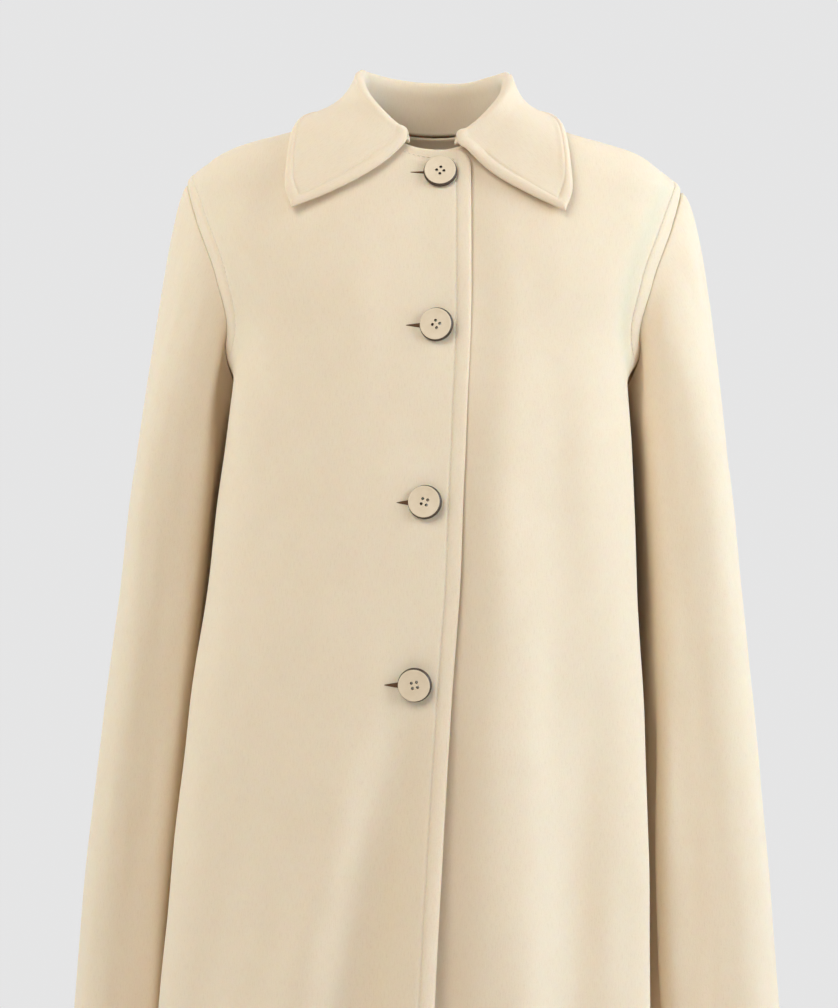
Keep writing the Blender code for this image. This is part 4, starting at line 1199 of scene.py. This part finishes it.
# Materials
class Nodes:
    """Node tree built by short calls."""

    def __init__(self, tree):
        self.tree = tree

    def add(self, kind, **values):
        made = self.tree.nodes.new(kind)
        for name, value in values.items():
            setattr(made, name, value)
        return made

    def link(self, source, target):
        self.tree.links.new(source, target)

    def span(self, value, low, high, from_low=0.3, from_high=0.7):
        made = self.add("ShaderNodeMapRange")
        self.link(value, made.inputs["Value"])
        limits = {"From Min": from_low, "From Max": from_high, "To Min": low, "To Max": high}
        for name, number in limits.items():
            made.inputs[name].default_value = number
        return made.outputs["Result"]

    def mix(self, share, first, second):
        made = self.add("ShaderNodeMix", data_type="RGBA")
        sockets = {s.identifier: s for s in made.inputs}
        if isinstance(share, (int, float)):
            sockets["Factor_Float"].default_value = share
        else:
            self.link(share, sockets["Factor_Float"])
        for name, value in (("A_Color", first), ("B_Color", second)):
            if isinstance(value, tuple):
                sockets[name].default_value = value + (1.0,)
            else:
                self.link(value, sockets[name])
        return {s.identifier: s for s in made.outputs}["Result_Color"]


class Look(Nodes):
    """Node tree of one material."""

    def __init__(self, name):
        self.material = bpy.data.materials.new(name)
        self.material.use_nodes = True
        super().__init__(self.material.node_tree)
        self.surface = self.tree.nodes["Principled BSDF"]

    def weave(self, scale, offset=(0.0, 0.0, 0.0)):
        """The cloth's own chart, scaled."""
        chart = self.add("ShaderNodeAttribute", attribute_name="weave")
        grow = self.add("ShaderNodeVectorMath", operation="MULTIPLY_ADD")
        self.link(chart.outputs["Vector"], grow.inputs[0])
        grow.inputs[1].default_value = scale
        grow.inputs[2].default_value = offset
        return grow.outputs[0]

    def place(self, scale):
        """The object's own coordinates, scaled."""
        chart = self.add("ShaderNodeTexCoord")
        grow = self.add("ShaderNodeVectorMath", operation="MULTIPLY")
        self.link(chart.outputs["Object"], grow.inputs[0])
        grow.inputs[1].default_value = scale
        return grow.outputs[0]

    def noise(self, at, scale=1.0, detail=3.0, roughness=0.55):
        made = self.add("ShaderNodeTexNoise")
        made.inputs["Scale"].default_value = scale
        made.inputs["Detail"].default_value = detail
        made.inputs["Roughness"].default_value = roughness
        self.link(at, made.inputs["Vector"])
        return made.outputs["Fac"]

    def math(self, operation, first, second):
        made = self.add("ShaderNodeMath", operation=operation)
        for socket, value in zip(made.inputs, (first, second)):
            if isinstance(value, (int, float)):
                socket.default_value = value
            else:
                self.link(value, socket)
        return made.outputs[0]

    def bump(self, height, distance, strength):
        made = self.add("ShaderNodeBump")
        made.inputs["Distance"].default_value = distance
        made.inputs["Strength"].default_value = strength
        self.link(height, made.inputs["Height"])
        self.link(made.outputs["Normal"], self.surface.inputs["Normal"])

    def set(self, **values):
        for name, value in values.items():
            self.surface.inputs[name.replace("_", " ")].default_value = value


def wool_look():
    look = Look("wool")
    nap = look.noise(look.weave((900.0, 620.0, 900.0)), detail=4.0, roughness=0.65)
    streak = look.noise(look.weave((1500.0, 130.0, 700.0), (3.1, 0.7, 0.0)), detail=2.0)
    cross = look.noise(look.weave((240.0, 1300.0, 700.0), (0.4, 9.2, 0.0)), detail=2.0)
    mottle = look.noise(look.weave((46.0, 30.0, 40.0), (7.7, 2.3, 0.0)), detail=3.0)
    slow = look.noise(look.weave((9.0, 6.0, 9.0), (1.7, 5.3, 0.0)), detail=2.0)
    tone = look.mix(look.span(mottle, 0.0, 1.0), (0.736, 0.578, 0.388), (0.751, 0.598, 0.410))
    tone = look.mix(look.span(slow, 0.0, 0.4), tone, (0.754, 0.597, 0.403))
    fibre = look.math("ADD", look.math("MULTIPLY", nap, 0.5), look.math("MULTIPLY", streak, 0.5))
    tone = look.mix(look.span(fibre, 0.0, 0.20, 0.40, 0.62), tone, (0.830, 0.714, 0.545))
    tone = look.mix(look.span(fibre, 0.20, 0.0, 0.34, 0.48), tone, (0.590, 0.438, 0.270))
    look.link(tone, look.surface.inputs["Base Color"])
    look.link(look.span(nap, 0.82, 0.97), look.surface.inputs["Roughness"])
    height = look.math("ADD", look.math("MULTIPLY", nap, 0.55), look.math("MULTIPLY", streak, 0.30))
    height = look.math("ADD", height, look.math("MULTIPLY", cross, 0.15))
    look.bump(height, 0.0006, 0.30)
    look.set(Sheen_Weight=0.12, Sheen_Roughness=0.45, Sheen_Tint=(1.0, 0.88, 0.70, 1.0))
    look.set(Specular_IOR_Level=0.18)
    look.set(Subsurface_Weight=0.35, Subsurface_Radius=(1.0, 0.42, 0.16), Subsurface_Scale=0.0045)
    return look.material


def grained_look(name, chart, scale, detail, tones, roughness, bump, specular):
    """Look whose colour, roughness and bump come from one grain."""
    look = Look(name)
    grain = look.noise(chart(look, scale), detail=detail)
    look.link(look.mix(look.span(grain, 0.0, 1.0), *tones), look.surface.inputs["Base Color"])
    look.link(look.span(grain, *roughness), look.surface.inputs["Roughness"])
    look.bump(grain, *bump)
    look.set(Specular_IOR_Level=specular)
    return look.material


def thread_look():
    tones = (0.660, 0.530, 0.370), (0.780, 0.650, 0.470)
    scale = (900.0, 2600.0, 900.0)
    return grained_look("thread", Look.weave, scale, 2.0, tones, (0.55, 0.75), (0.0001, 0.4), 0.3)


def horn_look():
    look = Look("horn_face")
    grain = look.noise(look.place((160.0, 420.0, 160.0)), detail=5.0, roughness=0.6)
    cloud = look.noise(look.place((70.0, 55.0, 90.0)), detail=3.0)
    tone = look.mix(look.span(cloud, 0.0, 1.0), (0.695, 0.536, 0.342), (0.735, 0.574, 0.384))
    tone = look.mix(look.span(grain, 0.0, 0.25), tone, (0.598, 0.434, 0.264))
    look.link(tone, look.surface.inputs["Base Color"])
    look.link(look.span(grain, 0.46, 0.60), look.surface.inputs["Roughness"])
    look.bump(grain, 0.0002, 0.15)
    look.set(Specular_IOR_Level=0.26)
    return look.material


def horn_edge_look():
    tones = (0.030, 0.018, 0.010), (0.110, 0.068, 0.036)
    scale = (220.0, 220.0, 700.0)
    return grained_look("horn_edge", Look.place, scale, 4.0, tones, (0.40, 0.55), (0.0002, 0.2), 0.35)


def slit_shade_look():
    # Dark browns of painted shade: the colour stands in for the shadow inside the opening of each buttonhole
    # leaf.
    tones = (0.085, 0.042, 0.020), (0.180, 0.095, 0.048)
    scale = (1500.0, 1500.0, 900.0)
    return grained_look("buttonhole_shade", Look.weave, scale, 3.0, tones, (0.85, 0.98), (0.0004, 0.4), 0.1)


def floor_look():
    look = Look("studio_floor")
    grain = look.noise(look.place((6.0, 6.0, 6.0)), detail=2.0)
    tone = look.mix(look.span(grain, 0.0, 1.0), (0.600, 0.600, 0.604), (0.620, 0.620, 0.624))
    look.link(tone, look.surface.inputs["Base Color"])
    look.set(Roughness=0.85, Specular_IOR_Level=0.2)
    return look.material


# Assembly
def dress(piece, look, slot, *nodes):
    if look is not None:
        piece.data.materials.append(look)
    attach(piece, "root")
    if nodes:
        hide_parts(*nodes)
    return piece


def studio():
    scene = bpy.context.scene
    scene.view_settings.view_transform = "Standard"
    world = bpy.data.worlds.new("studio")
    scene.world = world
    world.use_nodes = True
    sky = Nodes(world.node_tree)
    chart, split = sky.add("ShaderNodeTexCoord"), sky.add("ShaderNodeSeparateXYZ")
    sky.link(chart.outputs["Generated"], split.inputs[0])
    ahead = sky.span(split.outputs["Y"], 0.0, 1.0, *SKY_SIDES)
    horizon, dome = sky.mix(ahead, HORIZON_AHEAD, HORIZON_BEHIND), sky.mix(ahead, DOME_AHEAD, DOME_BEHIND)
    colour = sky.mix(sky.span(split.outputs["Z"], 0.0, 1.0, *SKY_LEVELS), horizon, dome)
    sky.link(colour, sky.tree.nodes["Background"].inputs["Color"])
    at = (0, 0, FLOOR_Z)
    bpy.ops.mesh.primitive_circle_add(vertices=96, radius=FLOOR_RADIUS, fill_type="NGON", location=at)
    floor = bpy.context.object
    floor.name = "floor"
    floor.data.materials.append(floor_look())
    for name, at, aim, size, power, colour in LAMPS:
        lamp = bpy.data.lights.new(name, "AREA")
        lamp.shape, lamp.size, lamp.energy, lamp.color = "DISK", size, power, colour
        made = placed(name, lamp)
        made.location = at
        made.rotation_euler = (Vector(aim) - Vector(at)).to_track_quat("-Z", "Y").to_euler()
    camera = placed("camera", bpy.data.cameras.new("camera"))
    camera.location = CAMERA_AT
    camera.rotation_euler = (math.pi / 2, 0.0, 0.0)
    camera.data.sensor_width = SENSOR
    camera.data.lens = SENSOR * -CAMERA_AT[1] / (PIXEL * IMAGE_HIGH)
    camera.data.clip_end = 60.0
    scene.camera = camera


def main():
    studio()
    wool, thread = wool_look(), thread_look()
    panels = body_panels()
    made = {}
    for piece, (outer, inner, across, z) in panels.items():
        made[piece] = dress(shell("cloth_" + piece, outer, inner, across, z), wool, "wool", piece)
    sewn = {
        "front_right": panel_stitches("front_right", RIGHT, "front"),
        "front_left": panel_stitches("front_left", LEFT, "front"),
        "back": panel_stitches("back", RIGHT, "back") + panel_stitches("back", LEFT, "back"),
    }
    threads = {}
    for piece, lines in sewn.items():
        threads[piece] = dress(stitches("stitches_" + piece, lines), thread, "wool")
    whole_body = body_tree(panels, 2 * HEM_Z)
    for piece, side in (("sleeve_right", RIGHT), ("sleeve_left", LEFT)):
        made[piece] = dress(sleeve("cloth_" + piece, side, whole_body), wool, "wool", piece)
    made["collar"], threads["collar"] = collar("cloth_collar", body_tree(panels, COLLAR_TREE_Z))
    dress(made["collar"], wool, "wool", "collar")
    dress(threads["collar"], thread, "wool")

    horn, edge, dark = horn_look(), horn_edge_look(), slit_shade_look()
    for number, (row, cut, shift) in enumerate(zip(BUTTON_ROWS, SLITS, FACE_SHIFTS), 1):
        dress(button("button_%d_turned" % number, row, shift, horn, edge), None, "button", "button_%d" % number)
        # Each buttonhole is a dark leaf with painted shade for the shadow inside its opening.
        dress(slit_shade("buttonhole_%d" % number, row, cut), dark, "wool")


main()
